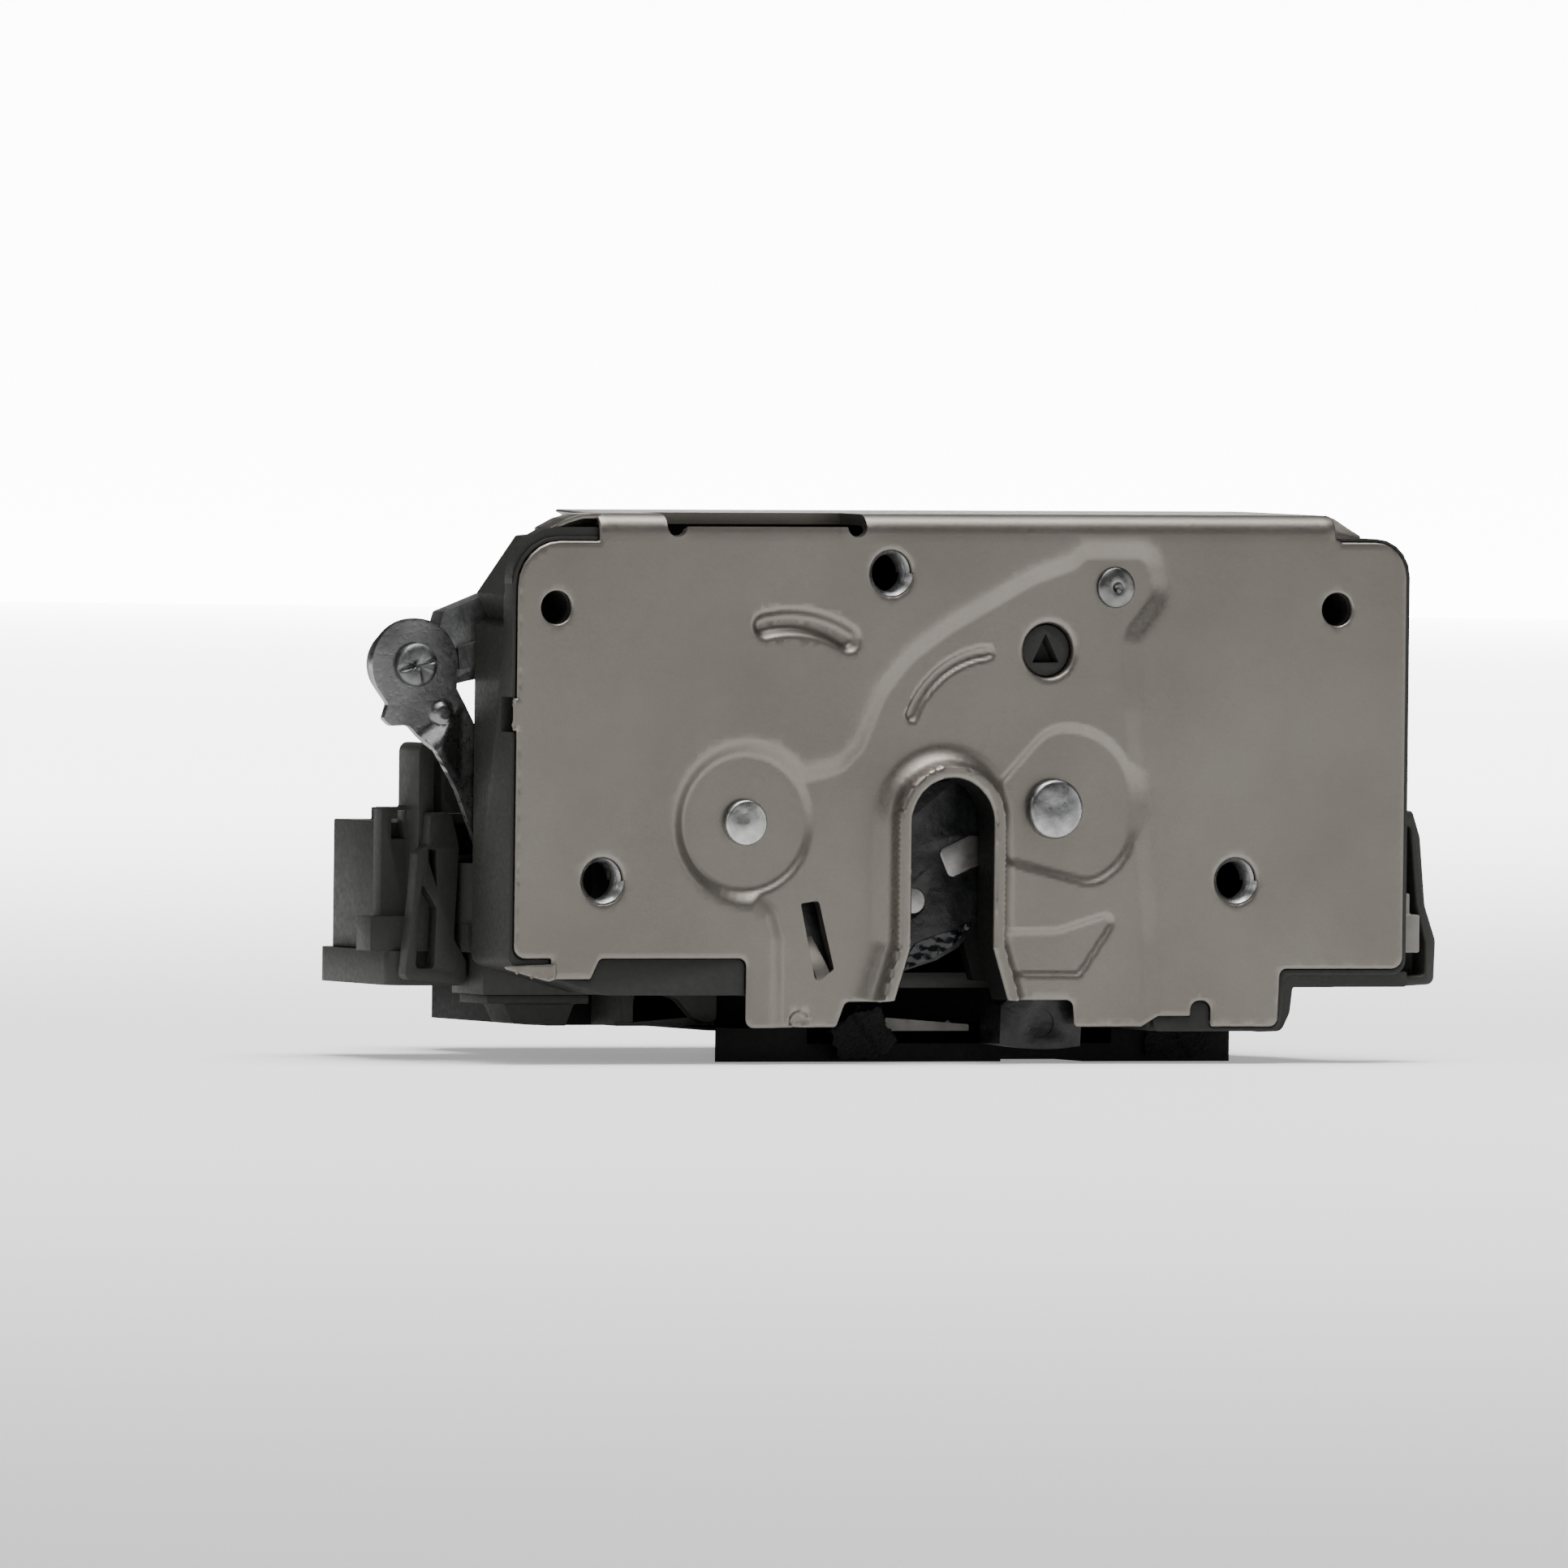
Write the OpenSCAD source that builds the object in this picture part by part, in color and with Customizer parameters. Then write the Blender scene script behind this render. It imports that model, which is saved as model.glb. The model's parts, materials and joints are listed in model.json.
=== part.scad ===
// Door latch actuator: a rotary claw latch in a plastic cassette behind a steel face plate,
// with its release levers and the geared lock drive in a flat housing below and behind it.
// Millimetres. The origin is the centre of the latched striker on the plate's outer face.
// X runs along the plate, Y into the door, Z up and away from the striker mouth.

/* [Face plate] */
// Sheet thickness of the face plate
plate_t = 1.5; // [1:0.1:2]
// Left edge of the plate, measured from the striker
plate_left = 61.8; // [60:0.1:64]
// Right edge of the plate, measured from the striker
plate_right = 66.4; // [64:0.1:70]
// How far the flange reaches into the door
flange_reach = 30; // [20:0.5:32]
// Depth of the wide channel pressed into the plate
channel_depth = 0.8; // [0.4:0.1:1]
// Depth of the round recesses under the pivot rivets
recess_depth = 1.2; // [0.8:0.1:1.3]
// Height of the collar round the striker mouth
collar_height = 2.5; // [1:0.1:4]
// Wall of the collar round the striker mouth
collar_wall = 1.4; // [1:0.1:2]
// Half the width of the striker mouth
mouth_half = 5.95; // [5:0.05:7]

/* [Fixing holes] */
// Core radius of the three tapped holes for M6 screws
tap_r = 2.5; // [2.4:0.05:3.4]
// Wall of the collar round each tapped hole
tap_wall = 1.6; // [1:0.1:2]
// Length of the thread in each tapped hole
tap_length = 4.6; // [3:0.1:6]
// Radius of the two plain holes
screw_r = 2.2; // [1.5:0.05:3]
// Radius of the hole over the emergency lock rotor
rotor_hole_r = 3.55; // [3.2:0.05:4.2]

/* [Latch] */
// Depth from the plate's outer face to the back plate
cassette_depth = 10.5; // [9.5:0.1:12]
// Thickness of the back plate
back_t = 2; // [1.5:0.1:3]
// Gap at each end of the claw and pawl hubs
end_gap = 0.3; // [0.2:0.05:0.5]
// Radial running gap of every turning piece
run_gap = 0.06; // [0.02:0.01:0.1]
// Outer radius of the claw
claw_r = 31.6; // [30.5:0.1:32]
// Radius of the striker pocket in the claw
pocket_r = 5.4; // [5:0.05:5.6]
// Thickness of the claw's steel core
core_t = 4; // [3:0.1:4.6]
// Radius of the journal that carries the claw
claw_journal_r = 5; // [4:0.1:6]
// Radius of the journal that carries the pawl
pawl_journal_r = 4; // [3:0.1:4.8]
// Radius of the pin that the outer lever pushes
pawl_pin_r = 2; // [1.5:0.1:2.4]

/* [Outer lever] */
// Thickness of the die-cast outer lever
lever_t = 3.6; // [2.5:0.1:4]
// Radius of the lever's pivot journal
lever_journal_r = 3.5; // [2.5:0.1:4.5]
// Sheet thickness of the link strap
strap_t = 1.2; // [0.8:0.1:1.4]
// Radius of the pin that joins strap and lever
lever_pin_r = 2.4; // [1.8:0.1:2.6]

/* [Housing] */
// Wall of the moulded housings
shell = 2; // [1.5:0.1:2.5]
// Depth of the tall housing, up to its rear face
tall_back = 31; // [30:0.5:32]
// Depth of the flat housing, up to its rear face
flat_back = 72; // [70:0.5:76]
// Flat underside that the part rests on
bottom_z = -31.7; // [-33:0.1:-31]

/* [Lock drive] */
// Radius of the motor can
motor_r = 10; // [8:0.1:10.4]
// Length of the motor can
motor_length = 28; // [24:0.5:30]
// Module of the first gear pair
fine_module = 0.6; // [0.5:0.05:0.6]
// Module of the rack and its gear
rack_module = 1; // [0.8:0.05:1]
// Teeth of the motor pinion
pinion_teeth = 10; // [10:1:12]
// Teeth of the large gear
gear_teeth = 34; // [28:1:34]
// Teeth of the small gear that drives the rack
drive_teeth = 12; // [12:1:13]
// Radius of the fixed axle under the gear
axle_r = 1.5; // [1:0.1:2]
// Thinning of each tooth for backlash
backlash = 0.16; // [0.1:0.01:0.25]

/* [Connector] */
// Wall of the connector shroud
shroud_wall = 1.5; // [1:0.1:2]
// Half thickness of a contact blade
blade_half = 0.3; // [0.2:0.05:0.4]

/* [Show] */
// Piece to draw, or all

/* [Hidden] */
$fn = 64;
claw_x = 16;
claw_z = 1.8;
bend_r = 2.6;
flange_top = claw_z + claw_r + 7;
bend_z = flange_top - bend_r;
pawl_x = claw_x - claw_r - 12.9;
// how far the pawl and the outer lever stand left or right of their usual place
left_shift = pawl_x + 28.5;
pawl_z = 0;
spacer_x = 24.4;
spacer_z = bend_z - 6.9;
rotor_x = 14.9;
rotor_z = 22.6;
lever_x = pawl_x - 16.5;
lever_z = 27;
eye_x = lever_x - 25.8;
eye_z = 20.3;
pawl_pin_rise = 12.8;
tap_spots = [[-49.3, -7.6], [42, -7.6], [-8.3, bend_z - 5.1]];
screw_spots = [[-56.3, bend_z - 9.7], [56.3, bend_z - 9.7]];
flange_y1 = flange_reach;
floor_y = recess_depth + plate_t;
hub_y0 = floor_y + end_gap;
hub_y1 = cassette_depth - end_gap;
back_y1 = cassette_depth + back_t;
core_y0 = (hub_y0 + hub_y1 - core_t) / 2;
core_y1 = core_y0 + core_t;
cover_y0 = hub_y0 + 0.3;
cover_y1 = hub_y1 - 0.6;
lever_y0 = back_y1 + 0.3 + strap_t + 0.1;
lever_y1 = lever_y0 + lever_t;
strap_y1 = lever_y0 - 0.1;
strap_y0 = strap_y1 - strap_t;
lip_gap = 0.1;
cavity_r = claw_r + 1.6;
drive_z = -16;
motor_y = 57.4;
motor_x0 = 0;
motor_x1 = motor_x0 + motor_length;
pitch_far = fine_module * (pinion_teeth + gear_teeth) / 2;
gear_y = motor_y - pitch_far;
rack_z = drive_z - rack_module * drive_teeth / 2;
roof_z = -3;
seam_z = -22;
step_z = -27.3;
step_y = 30.5;
// left wall of the tall housing, clear of the springs
tall_left = pawl_x - 9.5;
base_z = -17.4;

// Corner b of a path turned into an arc of radius r
function arc_corner(a, b, c, r, n) =
  let (
    u = (a - b) / norm(a - b),
    v = (c - b) / norm(c - b),
    half = acos(max(-1, min(1, u * v))) / 2,
    mid = b + (u + v) / norm(u + v) * r / sin(half),
    s = b + u * r / tan(half) - mid,
    e = b + v * r / tan(half) - mid,
    a0 = atan2(s[1], s[0]),
    turn = atan2(e[1], e[0]) - a0,
    da = turn > 180 ? turn - 360 : turn < -180 ? turn + 360 : turn
  )
  [for (i = [0 : n]) mid + r * [cos(a0 + da * i / n), sin(a0 + da * i / n)]];

// A path of [x, z, corner radius] with its corners rounded
function soft(p, n = 5) =
  let (k = len(p))
  [for (i = [0 : k - 1])
    let (
      a = p[(i + k - 1) % k],
      b = p[i],
      c = p[(i + 1) % k]
    )
    each (b[2] > 0
      ? arc_corner([a[0], a[1]], [b[0], b[1]], [c[0], c[1]], b[2], n)
      : [[b[0], b[1]]])
  ];

// Points on an arc about a centre
function arc_points(cx, cz, r, a0, a1, n) =
  [for (i = [0 : n]) [cx + r * cos(a0 + (a1 - a0) * i / n), cz + r * sin(a0 + (a1 - a0) * i / n)]];

// A flat shape in X and Z, thick from y0 to y1
module wall(y0, y1) {
  translate([0, y1, 0])
    rotate([90, 0, 0])
      linear_extrude(y1 - y0)
        children();
}

// A flat shape in Y and Z, thick from x0 to x1
module slab(x0, x1) {
  translate([x0, 0, 0])
    rotate([90, 0, 90])
      linear_extrude(x1 - x0)
        children();
}

// A flat shape in X and Y, thick from z0 to z1
module layer(z0, z1) {
  translate([0, 0, z0])
    linear_extrude(z1 - z0)
      children();
}

// A box given by its limits
module block(x0, x1, y0, y1, z0, z1) {
  translate([x0, y0, z0])
    cube([x1 - x0, y1 - y0, z1 - z0]);
}

// A round bar along Y
module rod(x, z, r, y0, y1) {
  translate([x, y1, z])
    rotate([90, 0, 0])
      cylinder(r = r, h = y1 - y0);
}

// A round bar along X
module bar(y, z, r, x0, x1) {
  translate([x0, y, z])
    rotate([0, 90, 0])
      cylinder(r = r, h = x1 - x0);
}

// A coil of a few turns about an axis along Y
module coil(x, z, r, wire, y0, turns) {
  for (i = [0 : turns - 1])
    translate([x, y0 + wire + i * wire * 1.9, z])
      rotate([90, 0, 0])
        rotate_extrude($fn = 48)
          translate([r, 0])
            circle(r = wire, $fn = 16);
}

// Outline of the face plate, grown by g where the housing lip follows it
module plate_outline(g = 0) {
  polygon(soft([
    [-plate_left - g, -17.8 - g, 1.6],
    [-plate_left - g, 36.8 + g, 6],
    [-50.2 - g, 36.8 + g, 0],
    [-50.2 - g, bend_z, 0],
    [56 + g, bend_z, 0],
    [56.5 + g, 36.9 + g, 0],
    [plate_right + g, 36.9 + g, 4.5],
    [plate_right + g, -19.2 - g, 1.6],
    [48.6 + g, -19.2 - g, 1],
    [48.3 + g, -26.8 - g, 1.2],
    [38.6 - g, -26.8 - g, 0.4],
    [38.6 - g, -23.4 - g, 1.2],
    [35.7 + g, -23.4 - g, 1.2],
    [35.7 + g, -25.4 - g, 0.3],
    [31.1, -25.4 - g, 0.4],
    [29, -26.8 - g, 0.4],
    [19.3 - g, -26.8 - g, 0.6],
    [19 - g, -23.3 - g, 1],
    [-13.8 + g, -23.5 - g, 0.9],
    [-15.1 + g, -26.8 - g, 0.6],
    [-28.5 - g, -26.9 - g, 1.2],
    [-28.5 - g, -17.8 - g, 1],
    [-49.5 + g, -17.8 - g, 0.8],
    [-50.8 + g, -20.5 - g, 0.5],
    [-56.5 - g, -20.5 - g, 0.5],
    [-56.5 - g, -17.8 - g, 0.3]
  ]));
}

// Striker mouth, grown by g
module mouth(g = 0) {
  circle(r = mouth_half + g);
  polygon([
    [-mouth_half - g, 0],
    [mouth_half + g, 0],
    [mouth_half + g, -16.3],
    [mouth_half + 2.15 + g, -23.2],
    [mouth_half + 3.4 + g, -27.4],
    [-mouth_half - 3.4 - g, -27.4],
    [-mouth_half - 2.15 - g, -23.2],
    [-mouth_half - g, -16.3]
  ]);
}

// Wide channel that clears the claw's sweep
module channel_shape() {
  polygon(soft([
    [-23.4, -26.4, 0],
    [-23.5, -15, 2],
    [-24.6, -11.6, 2],
    [-26.7, -9.8, 1],
    [-28.5, -8, 0],
    [-28.5, 8, 0],
    [-21, 5.7, 2],
    [-14.9, 7.2, 4],
    [-12.2, 9.9, 3],
    [-9.1, 17, 8],
    [-5.3, 21.6, 12],
    [0.4, 25.5, 12],
    [6.1, 28.6, 12],
    [12.5, 32, 10],
    [18.2, 33.9, 2],
    [20, 35.4, 1.5],
    [29.2, 35.5, 2.5],
    [30.5, 30, 3],
    [26.2, 24.5, 3],
    [26.4, 14.7, 6],
    [28.1, -1.4, 10],
    [29.5, -15.4, 10],
    [29.9, -24.9, 0],
    [18.4, -24.9, 0],
    [18.4, -22.3, 0],
    [-12.8, -22.5, 0],
    [-14.2, -25.8, 0]
  ], 4));
}

// Lobe pressed in round the claw's rivet
module lobe_shape() {
  polygon(soft([
    [8, 4, 1],
    [10.2, 9, 3],
    [16, 12, 6],
    [23.5, 10.5, 4],
    [26, 5, 4],
    [25.8, -2, 4],
    [21.7, -6.9, 3],
    [15.6, -6.3, 4],
    [9.2, -4.4, 1.5]
  ], 4));
}

// Faceted pocket below the lobe
module pocket_shape() {
  polygon(soft([
    [10.2, -14.5, 0.6],
    [17, -14.6, 2],
    [18.7, -14.1, 1],
    [23.4, -12.3, 0.8],
    [25, -12.6, 0.6],
    [19.7, -19.7, 0.6],
    [11.7, -19.7, 0.6]
  ], 3));
}

// Curved groove of width w along an arc, with round ends
module groove(cx, cz, r, a0, a1, w) {
  way = a1 > a0 ? 1 : -1;
  polygon(concat(
    arc_points(cx, cz, r + w / 2, a0, a1, 10),
    arc_points(cx + r * cos(a1), cz + r * sin(a1), w / 2, a1 + way * 22, a1 + way * 158, 6),
    arc_points(cx, cz, r - w / 2, a1, a0, 10),
    arc_points(cx + r * cos(a0), cz + r * sin(a0), w / 2, a0 + way * 202, a0 + way * 338, 6)
  ));
}

module deep_recesses() {
  translate([pawl_x, pawl_z])
    circle(r = 9.2);
  lobe_shape();
}

module shallow_grooves() {
  groove(-22.6, 10.4, 15.9, 104, 59, 2.4);
  groove(7.4, 9.2, 13.2, 158, 96, 1.9);
}

module face_plate() {
  color([0.52, 0.5, 0.48])
    difference() {
      union() {
        difference() {
          union() {
            wall(0, plate_t)
              plate_outline();
            wall(0, plate_t)
              translate([-plate_left - 0.5, 12])
                square([2, 4.2]);
            wall(channel_depth, channel_depth + plate_t)
              channel_shape();
            wall(recess_depth, floor_y)
              deep_recesses();
            wall(channel_depth + 0.4, floor_y)
              shallow_grooves();
            wall(plate_t, recess_depth + plate_t)
              pocket_shape();
            for (s = tap_spots)
              rod(s[0], s[1], tap_r + tap_wall, plate_t - 0.1, tap_length);
            rod(rotor_x, rotor_z, rotor_hole_r + 1, plate_t, floor_y);
          }
          wall(-1, channel_depth)
            channel_shape();
          wall(-1, recess_depth)
            deep_recesses();
          wall(-1, channel_depth + 0.4)
            shallow_grooves();
          wall(-1, recess_depth)
            pocket_shape();
        }
        // collar that stands round the mouth, wider at its foot
        difference() {
          union() {
            wall(-collar_height, plate_t)
              mouth(collar_wall);
            wall(-0.9, plate_t)
              mouth(collar_wall + 0.9);
            wall(-0.3, plate_t)
              mouth(collar_wall + 2);
          }
          wall(-collar_height - 1, plate_t + 1)
            translate([-20, -50])
              square([40, 26.8]);
        }
        // flange that turns back over the housing
        slab(-50.2, 56) {
          difference() {
            translate([bend_r, bend_z])
              circle(r = bend_r);
            translate([bend_r, bend_z])
              circle(r = bend_r - plate_t);
            translate([bend_r, bend_z - 10])
              square([10, 20]);
            translate([-10, bend_z - 20])
              square([20, 20]);
          }
          translate([bend_r, flange_top - plate_t])
            square([flange_y1 - bend_r, plate_t]);
        }
      }
      // notch over the rear tab, with its round reliefs
      block(-40.5, -11.8, -1, 9, flange_top - 1.7, flange_top + 1);
      for (x = [-39.2, -13.1])
        rod(x, flange_top - 1.7, 1.4, -1, 9);
      wall(-collar_height - 1, floor_y + 1)
        mouth();
      for (s = tap_spots)
        rod(s[0], s[1], tap_r, -1, tap_length + 1);
      for (s = tap_spots)
        translate([s[0], -0.01, s[1]])
          rotate([-90, 0, 0])
            cylinder(r1 = tap_r + 0.7, r2 = tap_r, h = 0.8);
      for (s = screw_spots)
        rod(s[0], s[1], screw_r, -1, plate_t + 1);
      rod(rotor_x, rotor_z, rotor_hole_r, -1, floor_y + 1);
      // seats of the three rivets
      rod(claw_x, claw_z, claw_journal_r - 2, -1, floor_y + 1);
      rod(pawl_x, pawl_z, pawl_journal_r - 1.7, -1, floor_y + 1);
      rod(spacer_x, spacer_z, 1.8, -1, floor_y + 1);
      // lanced slot, its tongue bent inward
      wall(-1, plate_t + 2)
        polygon([[-20.4, -10.6], [-17.9, -10.2], [-15.6, -19.2], [-16.6, -19.6], [-18.3, -19.4]]);
      rod(-20.5, -26, 1.4, -1, 0.5);
      // corner cut of the flange's left end
      translate([-50.2, 0, flange_top])
        rotate([0, 0, 35])
          block(-8, 0, -12, 6, -6, 6);
    }
}

module back_outline() {
  polygon(soft([
    [pawl_x - 8.5, -14, 3],
    [pawl_x - 8.5, 18, 3],
    [-22, 24, 6],
    [-10, 24, 4],
    [8, bend_z - 1.8, 4],
    [36, bend_z - 1.8, 4],
    [47, 20, 6],
    [47, -8, 4],
    [34, -21, 4],
    [-14, -21, 3],
    [-26, -19, 4]
  ]));
}

module back_plate() {
  color([0.45, 0.44, 0.42])
    difference() {
      wall(cassette_depth, back_y1)
        back_outline();
      wall(cassette_depth - 1, back_y1 + 1)
        mouth(1.6);
      rod(claw_x, claw_z, claw_journal_r - 1.4, cassette_depth - 1, back_y1 + 1);
      rod(pawl_x, pawl_z, pawl_journal_r - 1, cassette_depth - 1, back_y1 + 1);
      rod(spacer_x, spacer_z, 2.2, cassette_depth - 1, back_y1 + 1);
      rod(rotor_x, rotor_z, rotor_hole_r, cassette_depth - 1, back_y1 + 1);
      rod(42, -7.6, tap_r + tap_wall + 0.6, cassette_depth - 1, back_y1 + 1);
      // anchor holes of the two springs
      rod(claw_x + 6.6, claw_z, 0.55, back_y1 - 1.3, back_y1 + 1);
      rod(pawl_x - 5.4, pawl_z, 0.45, back_y1 - 1.3, back_y1 + 1);
      // way for the pawl's pin
      wall(cassette_depth - 1, back_y1 + 1)
        groove(pawl_x, pawl_z, pawl_pin_rise, 92, 76, 2 * pawl_pin_r + 1);
    }
}

// Room in which the claw swings
module claw_room() {
  intersection() {
    translate([claw_x, claw_z])
      circle(r = cavity_r);
    translate([-60, -60])
      square([89.6, 120]);
  }
  translate([claw_x, claw_z])
    circle(r = 14.5);
}

// Room in which the pawl swings
module pawl_room() {
  translate([pawl_x, pawl_z])
    circle(r = 10.2);
  translate([left_shift, 0])
    polygon(soft([
    [-37, -3, 2],
    [-36, 18.5, 4],
    [-19, 18.5, 4],
    [-15, 6, 0],
    [-6.9, -10, 0],
    [-6.9, -30, 0],
    [-24, -30, 0],
    [-24, -19, 3]
  ]));
}

module cassette_frame() {
  color([0.13, 0.13, 0.13])
    difference() {
      wall(0.5, back_y1)
        polygon(soft([
          [-plate_left - 0.6, -18.6, 1.5],
          [-plate_left - 0.6, bend_z - 0.4, 6.5],
          [plate_right + 0.6, bend_z - 0.4, 5],
          [plate_right + 0.6, -20, 2],
          [49.4, -20, 1.2],
          [49, -27.4, 1.6],
          [30.5, -27.4, 1],
          [30.5, -23, 0],
          [-24.5, -23, 0],
          [-24.5, -22.6, 0],
          [-48, -22.6, 1]
        ]));
      // seat of the plate
      wall(-1, plate_t)
        plate_outline(lip_gap);
      block(-plate_left - 2, -plate_left + 2, -1, 4, 11.8, 16.4);
      // clearance behind the pressed shapes
      wall(plate_t - 0.1, floor_y + 0.4)
        translate([pawl_x, pawl_z])
          circle(r = 9.7);
      wall(plate_t - 0.1, floor_y + 0.4)
        groove(-22.6, 10.4, 15.9, 106, 57, 3.2);
      wall(plate_t - 0.1, floor_y + 0.4)
        polygon([[-8, 20], [6, 30], [16, 36.2], [31, 36.2], [31, 20], [40, -30], [20, -30]]);
      wall(plate_t - 0.1, back_y1 + 1)
        claw_room();
      wall(plate_t - 0.1, cassette_depth)
        pawl_room();
      wall(plate_t - 0.1, cassette_depth)
        bumper_shape();
      wall(cassette_depth - 0.1, back_y1 + 1)
        back_outline();
      // pockets that keep the moulding light, closed by the plate
      wall(plate_t + 1, cassette_depth)
        polygon(soft([[-60, -1, 1], [-60, 24, 2], [-51, 24, 2], [-51, 12, 2], [-42, 12, 2], [-42, -1, 1]]));
      wall(plate_t + 1, cassette_depth)
        polygon(soft([[52, -16, 2], [52, 22, 2], [64.6, 22, 2], [64.6, -16, 2]]));
      wall(plate_t + 1, cassette_depth)
        polygon(soft([[36, 24, 2], [36, bend_z - 2.8, 2], [50, bend_z - 2.8, 2], [50, 24, 2]]));
      for (s = tap_spots)
        rod(s[0], s[1], tap_r + tap_wall + 0.3, -1, back_y1 + 1);
      for (s = screw_spots)
        rod(s[0], s[1], screw_r, -1, back_y1 + 1);
      rod(spacer_x, spacer_z, 4, -1, back_y1 + 1);
      rod(lever_x, lever_z, lever_journal_r - 1.2, 5, back_y1 + 1);
      // bevelled rear corner at the top left
      translate([-plate_left - 0.6, back_y1, 30])
        rotate([0, -28, 0])
          block(-12, 0, -9, 1, -4, 20);
      wall(plate_t, back_y1 + 1)
        mouth(1.6);
      // room for the right felt pad
      block(33.8, 44.2, 10.7, back_y1 + 1, -28, -25.8);
    }
}

// Claw outline in the open position, measured from its pivot
module claw_outline(r = claw_r) {
  intersection() {
    circle(r = r);
    polygon(concat(
      [[-13, 4], [-20.8, 2.6], [-40, 0.5], [-34, -33], [-22.6, -22.1]],
      [[-19.7, -21.1], [-15.7, -19.9], [-12.7, -18.3], [-11, -16.5], [-9.6, -14.3]],
      arc_points(-4.2, -15.4, pocket_r, 168, 0, 14),
      [[-1.2, -21.5], [-4.4, -24.2], [-6.3, -25.8], [-6.6, -36], [5, -36], [5.4, -26.5]],
      [[8.4, -20.5], [11.4, -12], [12.3, -2], [0, 12.3], [-9, 8.5]]
    ));
  }
  circle(r = 12.4);
}

// Steel core inside the claw's moulding
module core_outline() {
  intersection() {
    circle(r = claw_r - 2.2);
    polygon(concat(
      [[-12, 0.5], [-21, -0.6], [-36, -1.8], [-30, -30], [-21.3, -19.4]],
      [[-17, -18], [-14.2, -16.8], [-12.3, -15]],
      arc_points(-4.2, -15.4, pocket_r + 1.8, 170, 0, 14),
      [[0.6, -21.8], [-2.6, -24.6], [-4.6, -26.6], [-4.8, -36], [3.2, -36], [3.6, -26.2]],
      [[6.6, -20], [9.4, -11.5], [10, -2], [0, 9.8], [-8, 6]]
    ));
  }
  circle(r = 9.8);
}

// Steel tab that shows in the striker mouth
module core_tab() {
  translate([-11.9, -6.1])
    rotate([0, 0, 24])
      polygon(soft([[-3.2, -2.1, 1], [3.2, -2.1, 0.8], [3.2, 2.1, 1.6], [-3.2, 2.1, 0.8]]));
}

module core_spot() {
  translate([-19.1, -12.1])
    circle(r = 1.7);
}

module claw_core() {
  color([0.45, 0.45, 0.43])
    translate([claw_x, 0, claw_z])
      difference() {
        union() {
          wall(core_y0, core_y1)
            core_outline();
          wall(hub_y0, hub_y1)
            circle(r = claw_journal_r + run_gap + 1.6);
          wall(cover_y0 - 0.1, core_y0 + 0.1)
            core_tab();
          wall(cover_y0 - 0.1, core_y0 + 0.1)
            core_spot();
        }
        rod(0, 0, claw_journal_r + run_gap, hub_y0 - 1, hub_y1 + 1);
      }
}

module claw_cover() {
  color([0.06, 0.06, 0.06])
    translate([claw_x, 0, claw_z])
      difference() {
        wall(cover_y0, cover_y1)
          claw_outline();
        wall(core_y0, core_y1)
          core_outline();
        wall(cover_y0 - 1, core_y0 + 0.1)
          core_tab();
        wall(cover_y0 - 1, core_y0 + 0.1)
          core_spot();
        rod(0, 0, claw_journal_r + run_gap + 1.6, cover_y0 - 1, cover_y1 + 1);
        // lower face round the hub
        rod(0, 0, 11.4, cover_y0 - 1, cover_y0 + 0.4);
        // relief grooves across the arm
        for (a = [196, 206, 216])
          rotate([0, -a, 0])
            block(22, 28.5, cover_y0 - 1, cover_y0 + 0.3, -0.4, 0.4);
        rod(-0.6, -28.2, 1.9, cover_y0 - 1, cover_y0 + 0.25);
      }
}

module claw_rivet() {
  color([0.55, 0.56, 0.56])
    union() {
      rod(claw_x, claw_z, 3.9, recess_depth - 1.1, recess_depth);
      rod(claw_x, claw_z, claw_journal_r - 2, recess_depth - 0.1, floor_y + 0.1);
      rod(claw_x, claw_z, claw_journal_r, floor_y, cassette_depth);
      rod(claw_x, claw_z, claw_journal_r - 1.4, cassette_depth - 0.1, back_y1 + 0.1);
      rod(claw_x, claw_z, claw_journal_r, back_y1, back_y1 + 1.4);
    }
}

module claw_spring() {
  color([0.35, 0.35, 0.35])
    union() {
      coil(claw_x, claw_z, 6.6, 0.5, back_y1, 3);
      rod(claw_x + 6.6, claw_z, 0.5, back_y1 - 1.2, back_y1 + 0.8);
      translate([claw_x, back_y1 + 2.4, claw_z])
        rotate([0, 30, 0])
          translate([6.2, 0, 0])
            rotate([0, 90, 0])
              cylinder(r = 0.45, h = 9);
    }
}

module bumper_shape() {
  polygon(soft([[24.7, -19.8, 0.6], [27, -13.2, 0.8], [31.8, -12, 0.6], [31.8, -22, 0.6]]));
}

module claw_bumper() {
  color([0.05, 0.05, 0.05])
    wall(hub_y0 + 0.4, cassette_depth)
      bumper_shape();
}

// Arm of the pawl that rests on the claw's rim
module pawl_nose_arm() {
  translate([left_shift, 0])
    polygon(soft([
    [-23.5, 4.6, 0],
    [-18.4, -5, 4],
    [-14.8, -12.6, 2],
    [-12.9, -14.8, 1],
    [-10.9, -16.8, 0.5],
    [-12, -20, 1],
    [-16.5, -21.5, 1.5],
    [-22, -15, 4],
    [-33, -5.2, 0]
  ]));
}

// Arm of the pawl that carries its pin
module pawl_pin_arm() {
  translate([left_shift, 0])
    polygon(soft([
    [-34, 3, 0],
    [-32.6, 12, 1],
    [-31.6, 16, 2],
    [-25.4, 16, 2],
    [-24.4, 12, 1],
    [-23, 3, 0]
  ]));
}

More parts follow.
